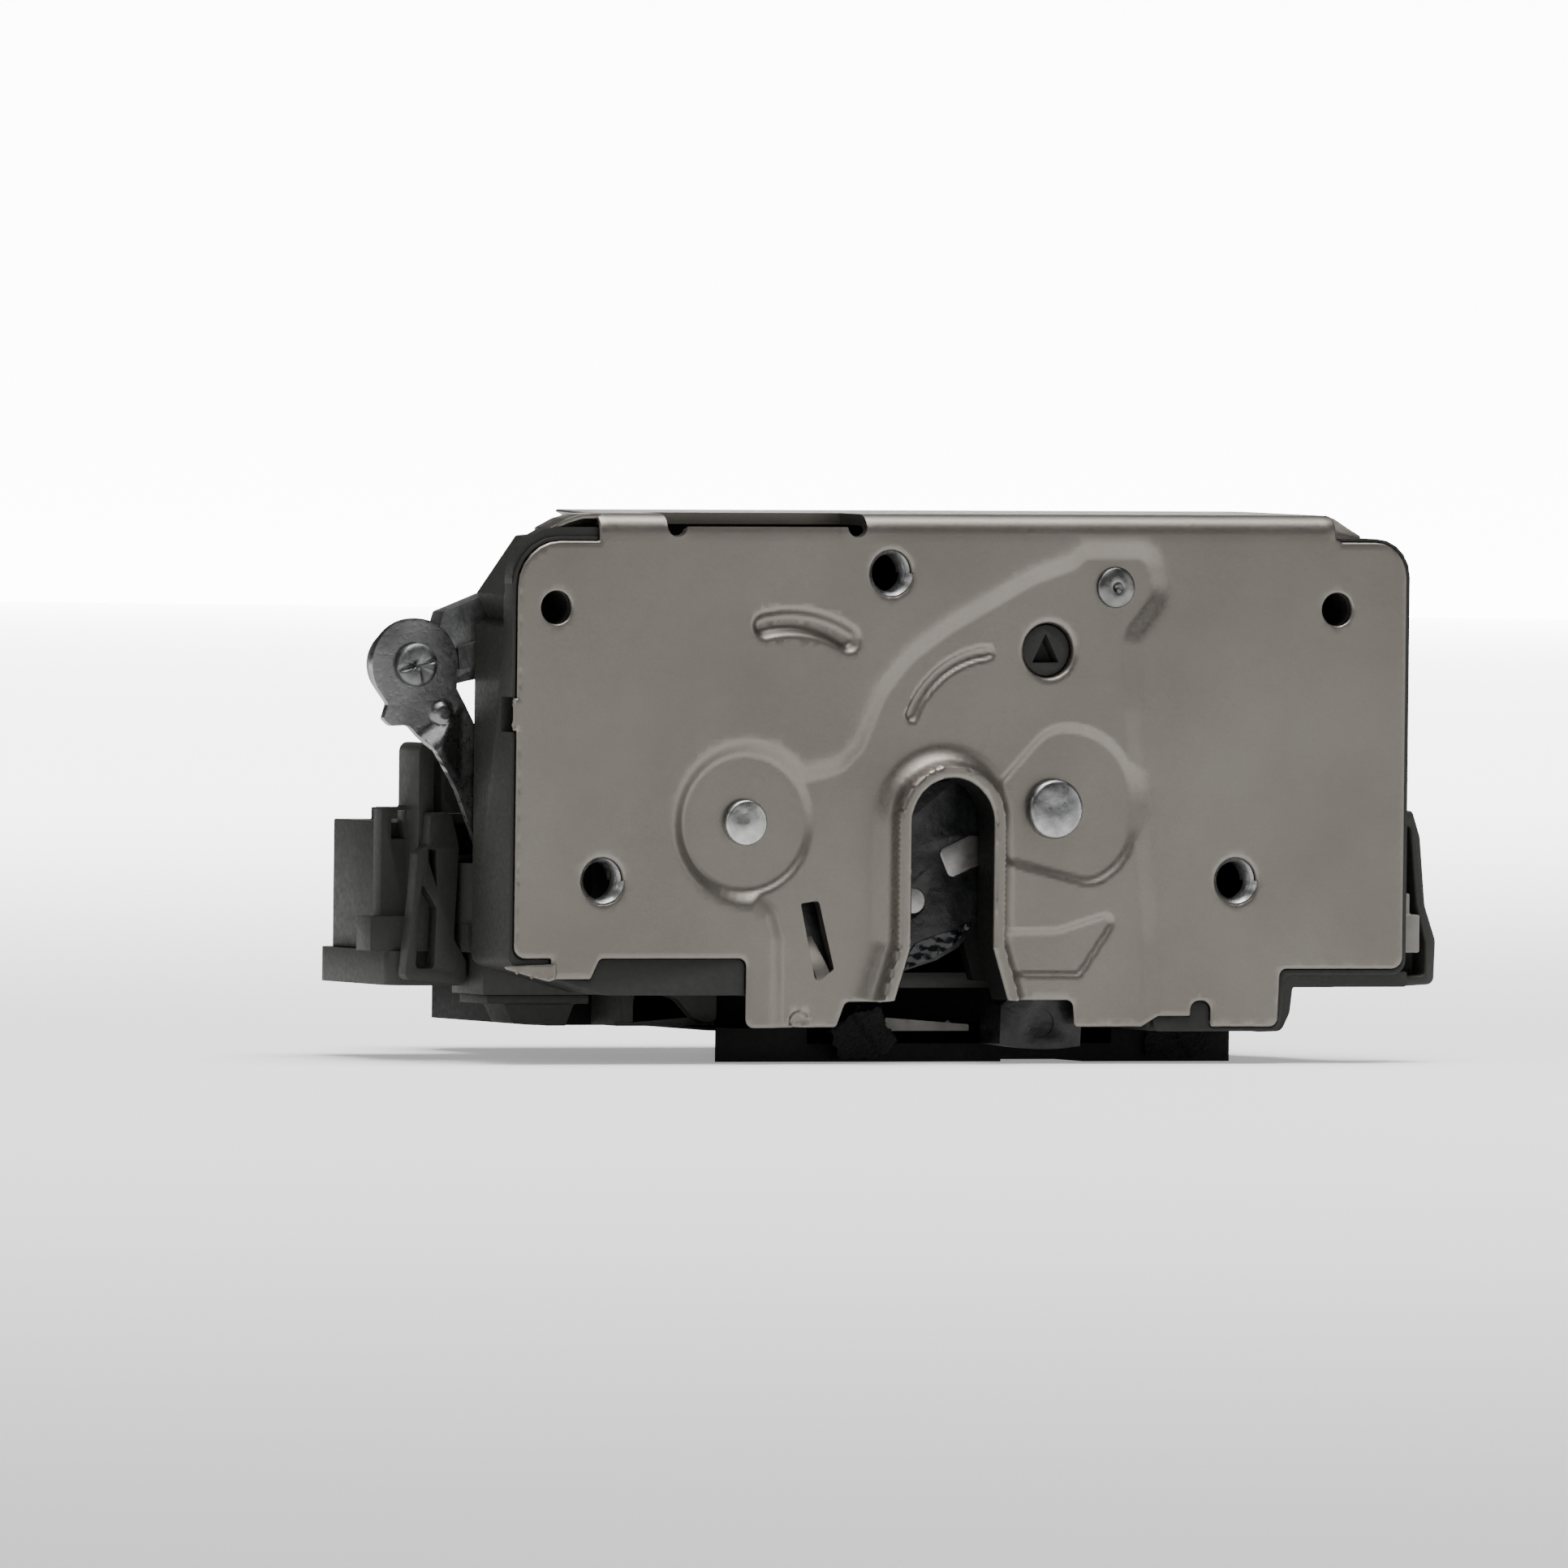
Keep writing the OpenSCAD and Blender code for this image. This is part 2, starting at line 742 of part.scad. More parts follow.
// Steel inside the pawl's moulding
module pawl_steel(y0, y1) {
  rod(pawl_x, pawl_z, 6.2, y0, y1);
  translate([left_shift, 0, 0])
    wall(y0, y1)
      polygon([
      [-24.6, 3.6],
      [-19.8, -5.6],
      [-16.1, -13.3],
      [-14, -15.6],
      [-12, -17],
      [-13, -19.6],
      [-16.2, -20.2],
      [-21.2, -14],
      [-32, -4.6]
    ]);
  translate([left_shift, 0, 0])
    wall(y0, y1)
      polygon([[-32, 3], [-31, 14.6], [-26, 14.6], [-25, 3]]);
}

module pawl_core() {
  color([0.4, 0.4, 0.38])
    difference() {
      union() {
        pawl_steel(core_y0, core_y1);
        rod(pawl_x, pawl_z, pawl_journal_r + run_gap + 1.2, hub_y0, hub_y1);
        rod(pawl_x, pawl_z + pawl_pin_rise, pawl_pin_r, core_y0, lever_y1 + 0.4);
      }
      rod(pawl_x, pawl_z, pawl_journal_r + run_gap, hub_y0 - 1, hub_y1 + 1);
    }
}

module pawl_cover() {
  color([0.08, 0.08, 0.08])
    difference() {
      union() {
        rod(pawl_x, pawl_z, 7.4, cover_y0, cover_y1);
        wall(cover_y0, cover_y1)
          pawl_nose_arm();
        wall(cover_y0, cover_y1)
          pawl_pin_arm();
      }
      pawl_steel(core_y0, core_y1);
      rod(pawl_x, pawl_z, pawl_journal_r + run_gap + 1.2, cover_y0 - 1, cover_y1 + 1);
      rod(pawl_x, pawl_z + pawl_pin_rise, pawl_pin_r, core_y0, cover_y1 + 1);
    }
}

module pawl_rivet() {
  color([0.6, 0.6, 0.6])
    union() {
      rod(pawl_x, pawl_z, 3.05, recess_depth - 1.1, recess_depth);
      rod(pawl_x, pawl_z, pawl_journal_r - 1.7, recess_depth - 0.1, floor_y + 0.1);
      rod(pawl_x, pawl_z, pawl_journal_r, floor_y, cassette_depth);
      rod(pawl_x, pawl_z, pawl_journal_r - 1, cassette_depth - 0.1, back_y1 + 0.1);
      rod(pawl_x, pawl_z, pawl_journal_r, back_y1, back_y1 + 1.2);
    }
}

module pawl_spring() {
  color([0.35, 0.35, 0.35])
    union() {
      coil(pawl_x, pawl_z, 5.4, 0.4, back_y1, 3);
      rod(pawl_x - 5.4, pawl_z, 0.4, back_y1 - 1.2, back_y1 + 0.8);
      translate([pawl_x, back_y1 + 1.92, pawl_z])
        rotate([0, 150, 0])
          translate([5, 0, 0])
            rotate([0, 90, 0])
              cylinder(r = 0.36, h = 3.4);
    }
}

module spacer_rivet() {
  color([0.5, 0.5, 0.5])
    difference() {
      union() {
        rod(spacer_x, spacer_z, 2.7, 0, channel_depth);
        rod(spacer_x, spacer_z, 1.8, channel_depth - 0.1, channel_depth + plate_t + 0.1);
        rod(spacer_x, spacer_z, 3.7, channel_depth + plate_t, cassette_depth);
        rod(spacer_x, spacer_z, 2.2, cassette_depth - 0.1, back_y1 + 0.1);
        rod(spacer_x, spacer_z, 3, back_y1, back_y1 + 1);
      }
      translate([spacer_x, -0.01, spacer_z])
        rotate([-90, 0, 0])
          cylinder(r1 = 0.6, r2 = 0.1, h = 0.5);
    }
}

module lock_rotor() {
  color([0.07, 0.07, 0.07])
    difference() {
      union() {
        rod(rotor_x, rotor_z, rotor_hole_r - run_gap - 0.1, recess_depth + 0.6, back_y1 + 5);
        rod(rotor_x, rotor_z, rotor_hole_r + 1.6, back_y1 + 0.3, back_y1 + 2.3);
        block(rotor_x - 1.2, rotor_x + 1.2, back_y1 + 2.3, back_y1 + 5, rotor_z, rotor_z + 9);
      }
      // three-sided key recess
      wall(recess_depth, recess_depth + 3)
        translate([rotor_x, rotor_z])
          polygon([[-1.9, -1.6], [1.9, -1.6], [0, 2.2]]);
    }
}

// Outline of the bell-crank outer lever
module lever_outline() {
  translate([eye_x, eye_z])
    circle(r = 4.8);
  translate([left_shift, 0])
    polygon(soft([
    [-71.5, 15.6, 0],
    [-66.4, 17.4, 1],
    [-65.4, 17.6, 0.5],
    [-52, 20.4, 2],
    [-46, 20.5, 3],
    [-35.2, 9.2, 1],
    [-31.5, 9.2, 1],
    [-31.2, 15.6, 1],
    [-38.4, 25, 3],
    [-40, 31, 2],
    [-47, 33, 3],
    [-60, 29.6, 2],
    [-66.2, 27.2, 0.5],
    [-66.8, 25.2, 1],
    [-72, 25, 0]
  ]));
}

module outer_lever() {
  color([0.42, 0.42, 0.42])
    difference() {
      union() {
        wall(lever_y0, lever_y1)
          lever_outline();
        rod(lever_x, lever_z, lever_journal_r + 2.6, back_y1 + 0.3, lever_y1 + 1.2);
        // raised rim along the long arm
        translate([left_shift, 0, 0])
          wall(lever_y1 - 0.1, lever_y1 + 1)
            polygon([[-65.8, 17.9], [-52, 20.8], [-52, 22.6], [-65.8, 19.7]]);
      }
      rod(lever_x, lever_z, lever_journal_r + run_gap, back_y1, lever_y1 + 2);
      rod(eye_x, eye_z, lever_pin_r + 0.02, lever_y0 - 1, lever_y1 + 1);
      // pocket in the long arm
      translate([left_shift, 0, 0])
        wall(lever_y1 - 1, lever_y1 + 2)
          polygon(soft([[-64, 21.2, 0.6], [-52, 23.9, 0.6], [-52, 27.6, 0.6], [-64, 25, 0.6]]));
    }
}

module lever_pin() {
  color([0.5, 0.5, 0.5])
    difference() {
      union() {
        rod(eye_x, eye_z, lever_pin_r, strap_y0 - 0.5, lever_y1 + 0.3);
        rod(eye_x, eye_z, lever_pin_r + 0.45, strap_y0 - 1.3, strap_y0 - 0.3);
        rod(eye_x, eye_z, lever_pin_r + 1, lever_y1 + 0.05, lever_y1 + 1);
      }
      // staking slot
      translate([eye_x, strap_y0 - 1.4, eye_z])
        rotate([0, 12, 0])
          block(-3, 3, 0, 0.5, -0.35, 0.35);
    }
}

module strap_outline() {
  difference() {
    union() {
      translate([eye_x, eye_z])
        circle(r = 6.1);
      translate([left_shift, 0])
    polygon(soft([
        [-76.4, 18.4, 0],
        [-74.6, 14.2, 1],
        [-74.8, 12.6, 0.4],
        [-73.2, 12.4, 0.4],
        [-72.4, 13.6, 0.4],
        [-68.2, 8.6, 2],
        [-64.6, 4, 4],
        [-61.6, -3, 6],
        [-59.6, -10, 1],
        [-55.8, -10, 1],
        [-57.4, -1, 6],
        [-60.4, 8, 6],
        [-64.8, 15.6, 2],
        [-65, 20, 0]
      ]));
    }
  }
}

module link_strap() {
  color([0.62, 0.62, 0.63])
    difference() {
      union() {
        wall(strap_y0, strap_y1)
          strap_outline();
        translate([left_shift, 0, 0]) {
          // pressed dimple and stiffening rib
          rod(-66.6, 13.4, 1.3, strap_y0 - 0.5, strap_y0 + 0.1);
          wall(strap_y0 - 0.1, strap_y0 + 0.1)
            polygon(soft([[-65.6, 9.4, 0.4], [-61.4, 1.2, 0.4], [-60.4, 1.6, 0.4], [-64.6, 9.9, 0.4]]));
          // hooked lower end
          block(-59.2, -56.2, strap_y0, strap_y1 + 1.1, -10, -8.8);
        }
      }
      rod(eye_x, eye_z, lever_pin_r + run_gap, strap_y0 - 2, strap_y1 + 1);
    }
}

module lever_pivot() {
  color([0.5, 0.5, 0.5])
    union() {
      rod(lever_x, lever_z, lever_journal_r - 1.2, back_y1 - 6, back_y1 + 0.1);
      rod(lever_x, lever_z, lever_journal_r, back_y1, lever_y1 + 1.5);
      rod(lever_x, lever_z, lever_journal_r + 1.6, lever_y1 + 1.5, lever_y1 + 3);
    }
}

module lever_spring() {
  color([0.35, 0.35, 0.35])
    union() {
      coil(lever_x, lever_z, 5.9, 0.5, lever_y1 + 3.2, 3);
      difference() {
        rod(lever_x, lever_z, 6.2, lever_y1 + 3, lever_y1 + 3.7);
        rod(lever_x, lever_z, 2.6, lever_y1 + 2, lever_y1 + 5);
      }
    }
}

// Roof line of the tall housing seen from the front
module tall_outline(g = 0) {
  polygon(soft([
    [tall_left + g, seam_z + g, 1],
    [tall_left + g, flange_top - plate_t - g, 3],
    [54 - g, flange_top - plate_t - g, 3],
    [64 - g, bend_z - 4.8 - g, 4],
    [64 - g, seam_z + g, 2]
  ]));
}

module flat_outline(g = 0) {
  polygon(soft([
    [-46 + g, step_y - 1.5 + g, 2],
    [-46 + g, flat_back - 8 - g, 2],
    [-40 + g, flat_back - g, 3],
    [54 - g, flat_back - g, 6],
    [60 - g, flat_back - 14 - g, 4],
    [60 - g, step_y - 1.5 + g, 2]
  ]));
}

module screw_places() {
  for (p = [[-40.5, 37], [-36, 66], [54, 37], [50, 66]])
    translate([p[0], p[1], 0])
      children();
}

module actuator_case() {
  color([0.16, 0.16, 0.15])
    difference() {
      union() {
        difference() {
          union() {
            wall(back_y1, tall_back)
              tall_outline();
            layer(seam_z, roof_z)
              flat_outline();
          }
          // room behind the back plate
          wall(back_y1 - 1, tall_back - shell)
            tall_outline(shell);
          layer(seam_z - 1, roof_z - shell)
            difference() {
              flat_outline(shell);
              translate([-60, 0])
                square([140, step_y + 0.5]);
            }
          // notch for the outer lever
          translate([left_shift, 0, 0])
        block(-40, -29, back_y1 - 1, lever_y1 + 2.4, 5, 36);
        }
        // base flange under the connector
        layer(-21.9, base_z)
          polygon(soft([
            [-70, 22, 2],
            [-70, 46.5, 4],
            [-45, 48, 2],
            [-45, 30, 0],
            [-37, 30, 0],
            [-37, 14, 1],
            [-60, 14, 2],
            [-60, 21, 0.6]
          ]));
        block(-60, -38.3, 14, 24, -22.9, base_z);
        // posts and ribs
        screw_places()
          translate([0, 0, seam_z])
            cylinder(r = 3.4, h = roof_z - seam_z - 0.5);
        for (x = [motor_x0 + 3, motor_x1 - 5])
          block(x, x + 2, motor_y - 11, motor_y + 11, drive_z + 2, roof_z - 1);
        for (x = [-16.5, -3.2])
          block(x, x + 2, gear_y - 4, gear_y + 4, drive_z - 3, roof_z - 1);
        for (x = [-22, 2, 28, 48])
          block(x, x + 1.6, tall_back - 0.5, tall_back + 2.2, roof_z, 12);
        for (z = [4, 32])
          block(-30, 56, tall_back - 0.5, tall_back + 1.2, z, z + 1.4);
        rod(10, 20, 6, tall_back - 0.5, tall_back + 1);
        for (y = [40, 50, 60])
          block(-30, 50, y, y + 1.4, roof_z - 0.5, roof_z + 1.2);
      }
      screw_places()
        translate([0, 0, seam_z + 2])
          cylinder(r = 1.5, h = 40);
      bar(motor_y, drive_z, motor_r, motor_x0, motor_x1);
      bar(gear_y, drive_z, axle_r, -17, -1);
      rod(10, 20, 2, tall_back - 6, tall_back + 2);
      rod(rotor_x, rotor_z, 2, tall_back - 4, tall_back + 2);
    }
}

module actuator_cover() {
  color([0.04, 0.04, 0.04])
    difference() {
      union() {
        layer(bottom_z, step_z)
          polygon(soft([
            [-28, 12.6, 1],
            [-28, 66, 6],
            [-22, flat_back - 0.5, 3],
            [42, flat_back - 0.5, 3],
            [47.5, 66, 6],
            [47.5, 12.6, 1]
          ]));
        layer(step_z - 0.1, seam_z)
          difference() {
            flat_outline(0.6);
            translate([-60, 0])
              square([140, step_y]);
          }
      }
      layer(bottom_z + shell, step_z - 0.2)
        polygon(soft([[-25, 33, 1], [-25, 64, 2], [-20, 69, 2], [40, 69, 2], [44.5, 64, 2], [44.5, 33, 1]]));
      layer(step_z - 0.3, seam_z + 1)
        intersection() {
          flat_outline(shell + 0.6);
          translate([-25, step_y + 2.5])
            square([69.5, 60]);
        }
      // hollow front foot, open towards the plate
      block(-14, 30, 11, 28, bottom_z + 2.4, step_z + 1);
      // shallow relief of the underside
      translate([14, 0, bottom_z - 1])
        block(0, 12, 0, 80, 0, 1.3);
      screw_places()
        translate([0, 0, bottom_z + 1])
          cylinder(r = 1.5, h = 30);
    }
}

module motor_body() {
  color([0.5, 0.5, 0.5])
    difference() {
      union() {
        bar(motor_y, drive_z, motor_r, motor_x0, motor_x1);
        bar(motor_y, drive_z, 3, motor_x0 - 1.2, motor_x0 + 0.1);
        bar(motor_y, drive_z, 4, motor_x1 - 0.1, motor_x1 + 1.6);
      }
      bar(motor_y, drive_z, 1 + run_gap, motor_x0 - 2, motor_x0 + 12);
    }
}

// Involute of an angle in radians
function inv(a) = tan(a) - a * PI / 180;

// Half angle of a tooth at radius r
function tooth_half(n, m, r) =
  let (
    pr = m * n / 2,
    base = pr * cos(24),
    rr = max(r, base)
  )
  90 / n - backlash / 2 / pr * 180 / PI + (inv(24) - inv(acos(min(1, base / rr)))) * 180 / PI;

// Flank of tooth i as [radius, angle] pairs turned into points
function tooth_points(n, m, i, low, tip, root) =
  let (
    rise = [for (k = [0 : 4]) low + (tip - low) * k / 4],
    fall = [for (k = [4 : -1 : 0]) low + (tip - low) * k / 4],
    turn = i * 360 / n,
    left = concat([[root, turn - tooth_half(n, m, low)]], [for (r = rise) [r, turn - tooth_half(n, m, r)]]),
    right = concat([for (r = fall) [r, turn + tooth_half(n, m, r)]], [[root, turn + tooth_half(n, m, low)]])
  )
  [for (q = concat(left, right)) [q[0] * cos(q[1]), q[0] * sin(q[1])]];

// Spur gear in its own plane, one tooth along the first axis
module gear_shape(n, m) {
  pr = m * n / 2;
  root = pr - 1.15 * m;
  low = max(root + 0.01, pr * cos(24));
  polygon([for (i = [0 : n - 1]) each tooth_points(n, m, i, low, pr + 0.9 * m, root)]);
}

// A gear about an axis along X, turned by a degrees
module gear_at(y, z, n, m, a, x0, x1) {
  translate([0, y, z])
    slab(x0, x1)
      rotate([0, 0, a])
        gear_shape(n, m);
}

module motor_pinion() {
  color([0.75, 0.62, 0.3])
    union() {
      gear_at(motor_y, drive_z, pinion_teeth, fine_module, 180, -9, -2);
      bar(motor_y, drive_z, 1, -10, motor_x0 + 11);
    }
}

module reduction_gear() {
  color([0.85, 0.84, 0.78])
    difference() {
      union() {
        gear_at(gear_y, drive_z, gear_teeth, fine_module, 180 / gear_teeth, -8, -4.2);
        gear_at(gear_y, drive_z, drive_teeth, rack_module, -90, -14, -7.9);
        bar(gear_y, drive_z, axle_r + 2, -4.3, -3.5);
      }
      bar(gear_y, drive_z, axle_r + run_gap, -20, 0);
    }
}

module gear_axle() {
  color([0.55, 0.55, 0.55])
    bar(gear_y, drive_z, axle_r, -16.5, -1.2);
}

// Rack of straight-sided teeth, a gap at y = 0
module rack_shape(m) {
  pitch = PI * m;
  add = 0.9 * m;
  ded = 1.15 * m;
  half = pitch / 4 - backlash / 2;
  for (i = [-3 : 3])
    translate([(i + 0.5) * pitch, 0])
      polygon([
        [-half - ded * tan(24), -ded],
        [-half + add * tan(24), add],
        [half - add * tan(24), add],
        [half + ded * tan(24), -ded]
      ]);
  translate([-3.4 * pitch, -ded - 1.6])
    square([7.2 * pitch, 1.65]);
}

module lock_slider() {
  color([0.8, 0.78, 0.7])
    union() {
      translate([0, gear_y, rack_z])
        slab(-13.4, -8.6)
          rack_shape(rack_module);
      block(-15.6, -8.5, gear_y - 3.4 * PI * rack_module, gear_y + 3.8 * PI * rack_module, -26.4, -24.7);
      block(-13.4, -8.6, gear_y + 9.5, gear_y + 3.8 * PI * rack_module, -26.4, -20.5);
    }
}

module connector_shroud() {
  color([0.22, 0.22, 0.21])
    difference() {
      union() {
        block(-68.8, -55.4, 28, 43, base_z, -0.6);
        block(-64.8, -59.4, 36, 40, -0.7, 1);
        block(-56, -46, 28, 36, base_z, -4);
      }
      block(-68.8 + shroud_wall, -55.4 - shroud_wall, 30, 44, base_z + shroud_wall, -0.6 - shroud_wall);
      for (x = [-65.4, -62.1, -58.8])
        for (z = [-12.4, -6])
          block(x - blade_half, x + blade_half, 27, 31, z - 1.2, z + 1.2);
    }
}

module connector_pins() {
  color([0.75, 0.6, 0.25])
    union() {
      for (x = [-65.4, -62.1, -58.8])
        for (z = [-12.4, -6])
          block(x - blade_half, x + blade_half, 27.4, 37, z - 1.2, z + 1.2);
      for (z = [-12.4, -6])
        block(-65.7, -58.5, 27.2, 27.9, z - 0.4, z + 0.4);
      block(-62.4, -61.8, 27.2, 27.9, -12.4, -6);
    }
}

module circuit_carrier() {
  color([0.1, 0.1, 0.1])
    union() {
      wall(24, 25.6)
        polygon(soft([
          [tall_left + 4, -12, 2],
          [tall_left + 4, 3, 2],
          [-24, 12, 3],
          [-6, 12, 2],
          [-6, -12, 2]
        ]));
      for (p = [[tall_left + 8, -8], [-10, -8], [-12, 8]])
        rod(p[0], p[1], 2, 25.5, tall_back - shell);
    }
}

module micro_switch(x, z) {
  block(x, x + 13, 18, 24, z, z + 6);
  block(x + 3, x + 5, 18.4, 20.4, z + 5.9, z + 7.4);
}

module claw_switch() {
  color([0.12, 0.12, 0.13])
    micro_switch(-22, -10);
}

module lock_switch() {
  color([0.12, 0.12, 0.13])
    micro_switch(-22, 2);
}

module side_bracket() {
  color([0.3, 0.3, 0.29])
    difference() {
      union() {
        // front wall with its window
        wall(24.6, 27.1)
          polygon(soft([
            [-70.1, base_z, 0],
            [-70.1, 1.4, 0.4],
            [-66.8, 1.4, 0],
            [-64.9, 3.3, 0],
            [-62, 3.3, 0],
            [-58, -1, 1],
            [-58, base_z, 0]
          ]));
        // tall and thin ribs
        wall(20.5, 27.1)
          polygon(soft([[-66.6, base_z, 0], [-66.6, 9.9, 1.2], [-64.5, 9.9, 0.3], [-64.5, base_z, 0]]));
        block(-64.6, -56, 25.6, 27.1, base_z, 7.6);
        block(-62.9, -62.4, 21.5, 26, 0, 9);
        block(-64.6, -56, 20.5, 26, -0.6, 0.6);
        block(-62.2, -56, 20.5, 26, -5.6, -4.8);
        // step block and round boss
        block(-72.4, -64, 22.6, 27.1, base_z, -12.9);
        translate([-58.1, 19.4, -13.8])
          cylinder(r = 3.4, h = 8);
        block(-61.4, -54.8, 16, 26, base_z, -13.7);
        block(-58.5, -46, 24, 27, base_z, -6);
      }
      block(-68.7, -66.7, 24, 28, -2.8, 1);
      block(-60, -56, 15, 17.4, base_z - 1, -15);
    }
}

module left_clip() {
  color([0.28, 0.28, 0.27])
    difference() {
      wall(18.1, 20.5)
        polygon(soft([
          [-69.4, -21, 0.8],
          [-68.2, -10, 2],
          [-67.8, -4.4, 0.5],
          [-66.2, -3.4, 0.4],
          [-66, 0.8, 0.5],
          [-63, 0.8, 1],
          [-61.8, -3.6, 3],
          [-62.4, -15.8, 2],
          [-60.6, -18.6, 1],
          [-60.6, -21.6, 1]
        ]));
      wall(17, 21)
        polygon(soft([[-67, -8.4, 0.2], [-64.9, -11.6, 0.6], [-65.2, -19.6, 0.6], [-67.9, -19.6, 0.6]]));
      wall(17, 21)
        polygon([[-66.2, -4], [-65, -4], [-65, -6], [-64.9, -9], [-66.2, -5.4]]);
    }
}

module right_clip() {
  color([0.1, 0.1, 0.1])
    difference() {
      wall(5.6, back_y1)
        polygon(soft([
          [plate_right + 0.6, -21.8, 0.5],
          [plate_right + 0.6, 0.8, 0],
          [70.2, 1.6, 0.6],
          [71.4, -2, 3],
          [72.2, -11, 4],
          [73.8, -15.6, 2],
          [73.6, -21.4, 1]
        ]));
      wall(4, 9.4)
        polygon(soft([
          [68, -20.4, 0.5],
          [68, -0.6, 0.4],
          [69.8, -0.6, 0.4],
          [70.8, -11, 3],
          [72.2, -15.8, 1],
          [72.2, -20.2, 0.6]
        ]));
    }
}

module right_pad() {
  color([0.3, 0.3, 0.29])
    union() {
      block(68.1, 70.8, 4.2, 9.4, -17.2, -12.2);
      block(68.1, 69.6, 4.8, 9.4, -12.3, -9.4);
    }
}

module clip_foot() {
  color([0.05, 0.05, 0.05])
    union() {
      block(-59.2, -44.6, 14.4, 23.4, -24.1, -22.9);
      wall(15, 22)
        polygon([[-56.6, -24], [-46.4, -24], [-47.6, -27], [-50.4, -27], [-50.6, -26.7], [-55.2, -26.7]]);
    }
}

module lower_block() {
  color([0.2, 0.2, 0.19])
    difference() {
      union() {
        block(-38.2, -24, 20, 28, -27.2, seam_z);
        block(-38.2, -36.4, 18.4, 20.1, -26.6, seam_z);
        wall(18.8, 20.1)
          polygon(soft([
            [-34.4, -22.2, 0],
            [-24.2, -22.2, 0],
            [-24.2, -26.8, 1],
            [-27, -26.8, 4],
            [-30, -23.6, 3]
          ]));
      }
      block(-35.4, -30, 19, 23, -26, -24.4);
    }
}

module felt_pad_left() {
  color([0.04, 0.04, 0.04])
    wall(11, 12.6)
      polygon(soft([
        [-10.2, -31.4, 0.3],
        [-11.4, -27.6, 0.4],
        [-4.8, -24.6, 0.3],
        [-2, -29, 0.3],
        [-3.4, -29.8, 0.4]
      ]));
}

module felt_pad_right() {
  color([0.04, 0.04, 0.04])
    wall(11, 12.6)
      polygon(soft([[34, -31.6, 1], [34.8, -26.2, 0.6], [43.8, -26, 0.6], [44, -31.6, 1]]));
}

module inner_lever() {
  color([0.45, 0.45, 0.45])
    difference() {
      union() {
        wall(tall_back + 2.5, tall_back + 4.7)
          polygon(soft([
            [4, 17, 3],
            [-22, 24, 2],
            [-24, 27, 1],
            [-21, 30, 1],
            [-12, 27.4, 2],
            [12, 26, 4],
            [17, 19, 2],
            [19, 6, 2],
            [13, 6, 2],
            [12, 14, 2]
          ]));
        rod(10, 20, 5.4, tall_back + 1.3, tall_back + 5.6);
      }
      rod(10, 20, 3 + run_gap, tall_back, tall_back + 8);
      rod(-20, 26.8, 1.5, tall_back, tall_back + 8);
    }
}

module inner_lever_pivot() {
  color([0.5, 0.5, 0.5])
    union() {
      rod(10, 20, 2, tall_back - 5, tall_back + 1.1);
      rod(10, 20, 3, tall_back + 1, tall_back + 5.9);
      rod(10, 20, 4.6, tall_back + 5.9, tall_back + 7.3);
    }
}

module cover_screws() {
  color([0.5, 0.5, 0.5])
    screw_places()
      difference() {
        union() {
          translate([0, 0, roof_z - 17])
            cylinder(r = 1.5, h = 18);
          translate([0, 0, roof_z])
            cylinder(r = 3, h = 1.8);
        }
        translate([0, 0, roof_z + 0.8])
          cylinder(r = 1.3, h = 2, $fn = 6);
      }
}

face_plate();
back_plate();
cassette_frame();
claw_core();
claw_cover();
claw_rivet();
claw_spring();
claw_bumper();
pawl_core();
pawl_cover();
pawl_rivet();
pawl_spring();
spacer_rivet();
lock_rotor();
outer_lever();
lever_pin();
link_strap();
lever_pivot();
lever_spring();
actuator_case();
actuator_cover();
motor_body();
motor_pinion();
reduction_gear();
gear_axle();
lock_slider();
connector_shroud();
connector_pins();
circuit_carrier();
claw_switch();
lock_switch();
side_bracket();
left_clip();
right_clip();
right_pad();
clip_foot();
lower_block();
felt_pad_left();
felt_pad_right();
inner_lever();
inner_lever_pivot();
cover_screws();
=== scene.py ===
import bpy
import json
import math
import numpy as np
from mathutils import Matrix, Vector, geometry


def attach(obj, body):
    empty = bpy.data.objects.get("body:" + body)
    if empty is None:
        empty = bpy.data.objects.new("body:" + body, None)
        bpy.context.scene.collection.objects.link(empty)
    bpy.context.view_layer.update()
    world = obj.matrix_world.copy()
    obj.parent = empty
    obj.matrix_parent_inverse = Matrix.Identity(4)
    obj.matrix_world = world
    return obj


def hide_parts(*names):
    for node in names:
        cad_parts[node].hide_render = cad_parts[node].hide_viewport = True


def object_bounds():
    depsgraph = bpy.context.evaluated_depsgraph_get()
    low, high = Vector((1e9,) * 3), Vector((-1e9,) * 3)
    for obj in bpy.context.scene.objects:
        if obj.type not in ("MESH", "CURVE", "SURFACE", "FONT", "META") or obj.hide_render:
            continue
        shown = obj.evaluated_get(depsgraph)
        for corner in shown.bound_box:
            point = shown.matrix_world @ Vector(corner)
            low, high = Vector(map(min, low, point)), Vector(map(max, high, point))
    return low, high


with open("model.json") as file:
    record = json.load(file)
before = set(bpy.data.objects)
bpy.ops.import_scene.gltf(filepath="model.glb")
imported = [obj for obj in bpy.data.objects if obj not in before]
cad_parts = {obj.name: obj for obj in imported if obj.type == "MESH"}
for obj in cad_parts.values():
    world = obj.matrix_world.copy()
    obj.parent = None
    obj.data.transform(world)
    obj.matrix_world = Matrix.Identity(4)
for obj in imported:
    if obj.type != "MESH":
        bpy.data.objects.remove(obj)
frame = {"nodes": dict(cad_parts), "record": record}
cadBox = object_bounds()
nodes = frame["nodes"]
slotOf = {s["node"]: s["material_slot"] for s in frame["record"]["subparts"]}
bodyOf = {n: b for b, names in frame["record"]["behaviour"]["bodies"].items() for n in names}
mm = 0.001
print("frame loaded")

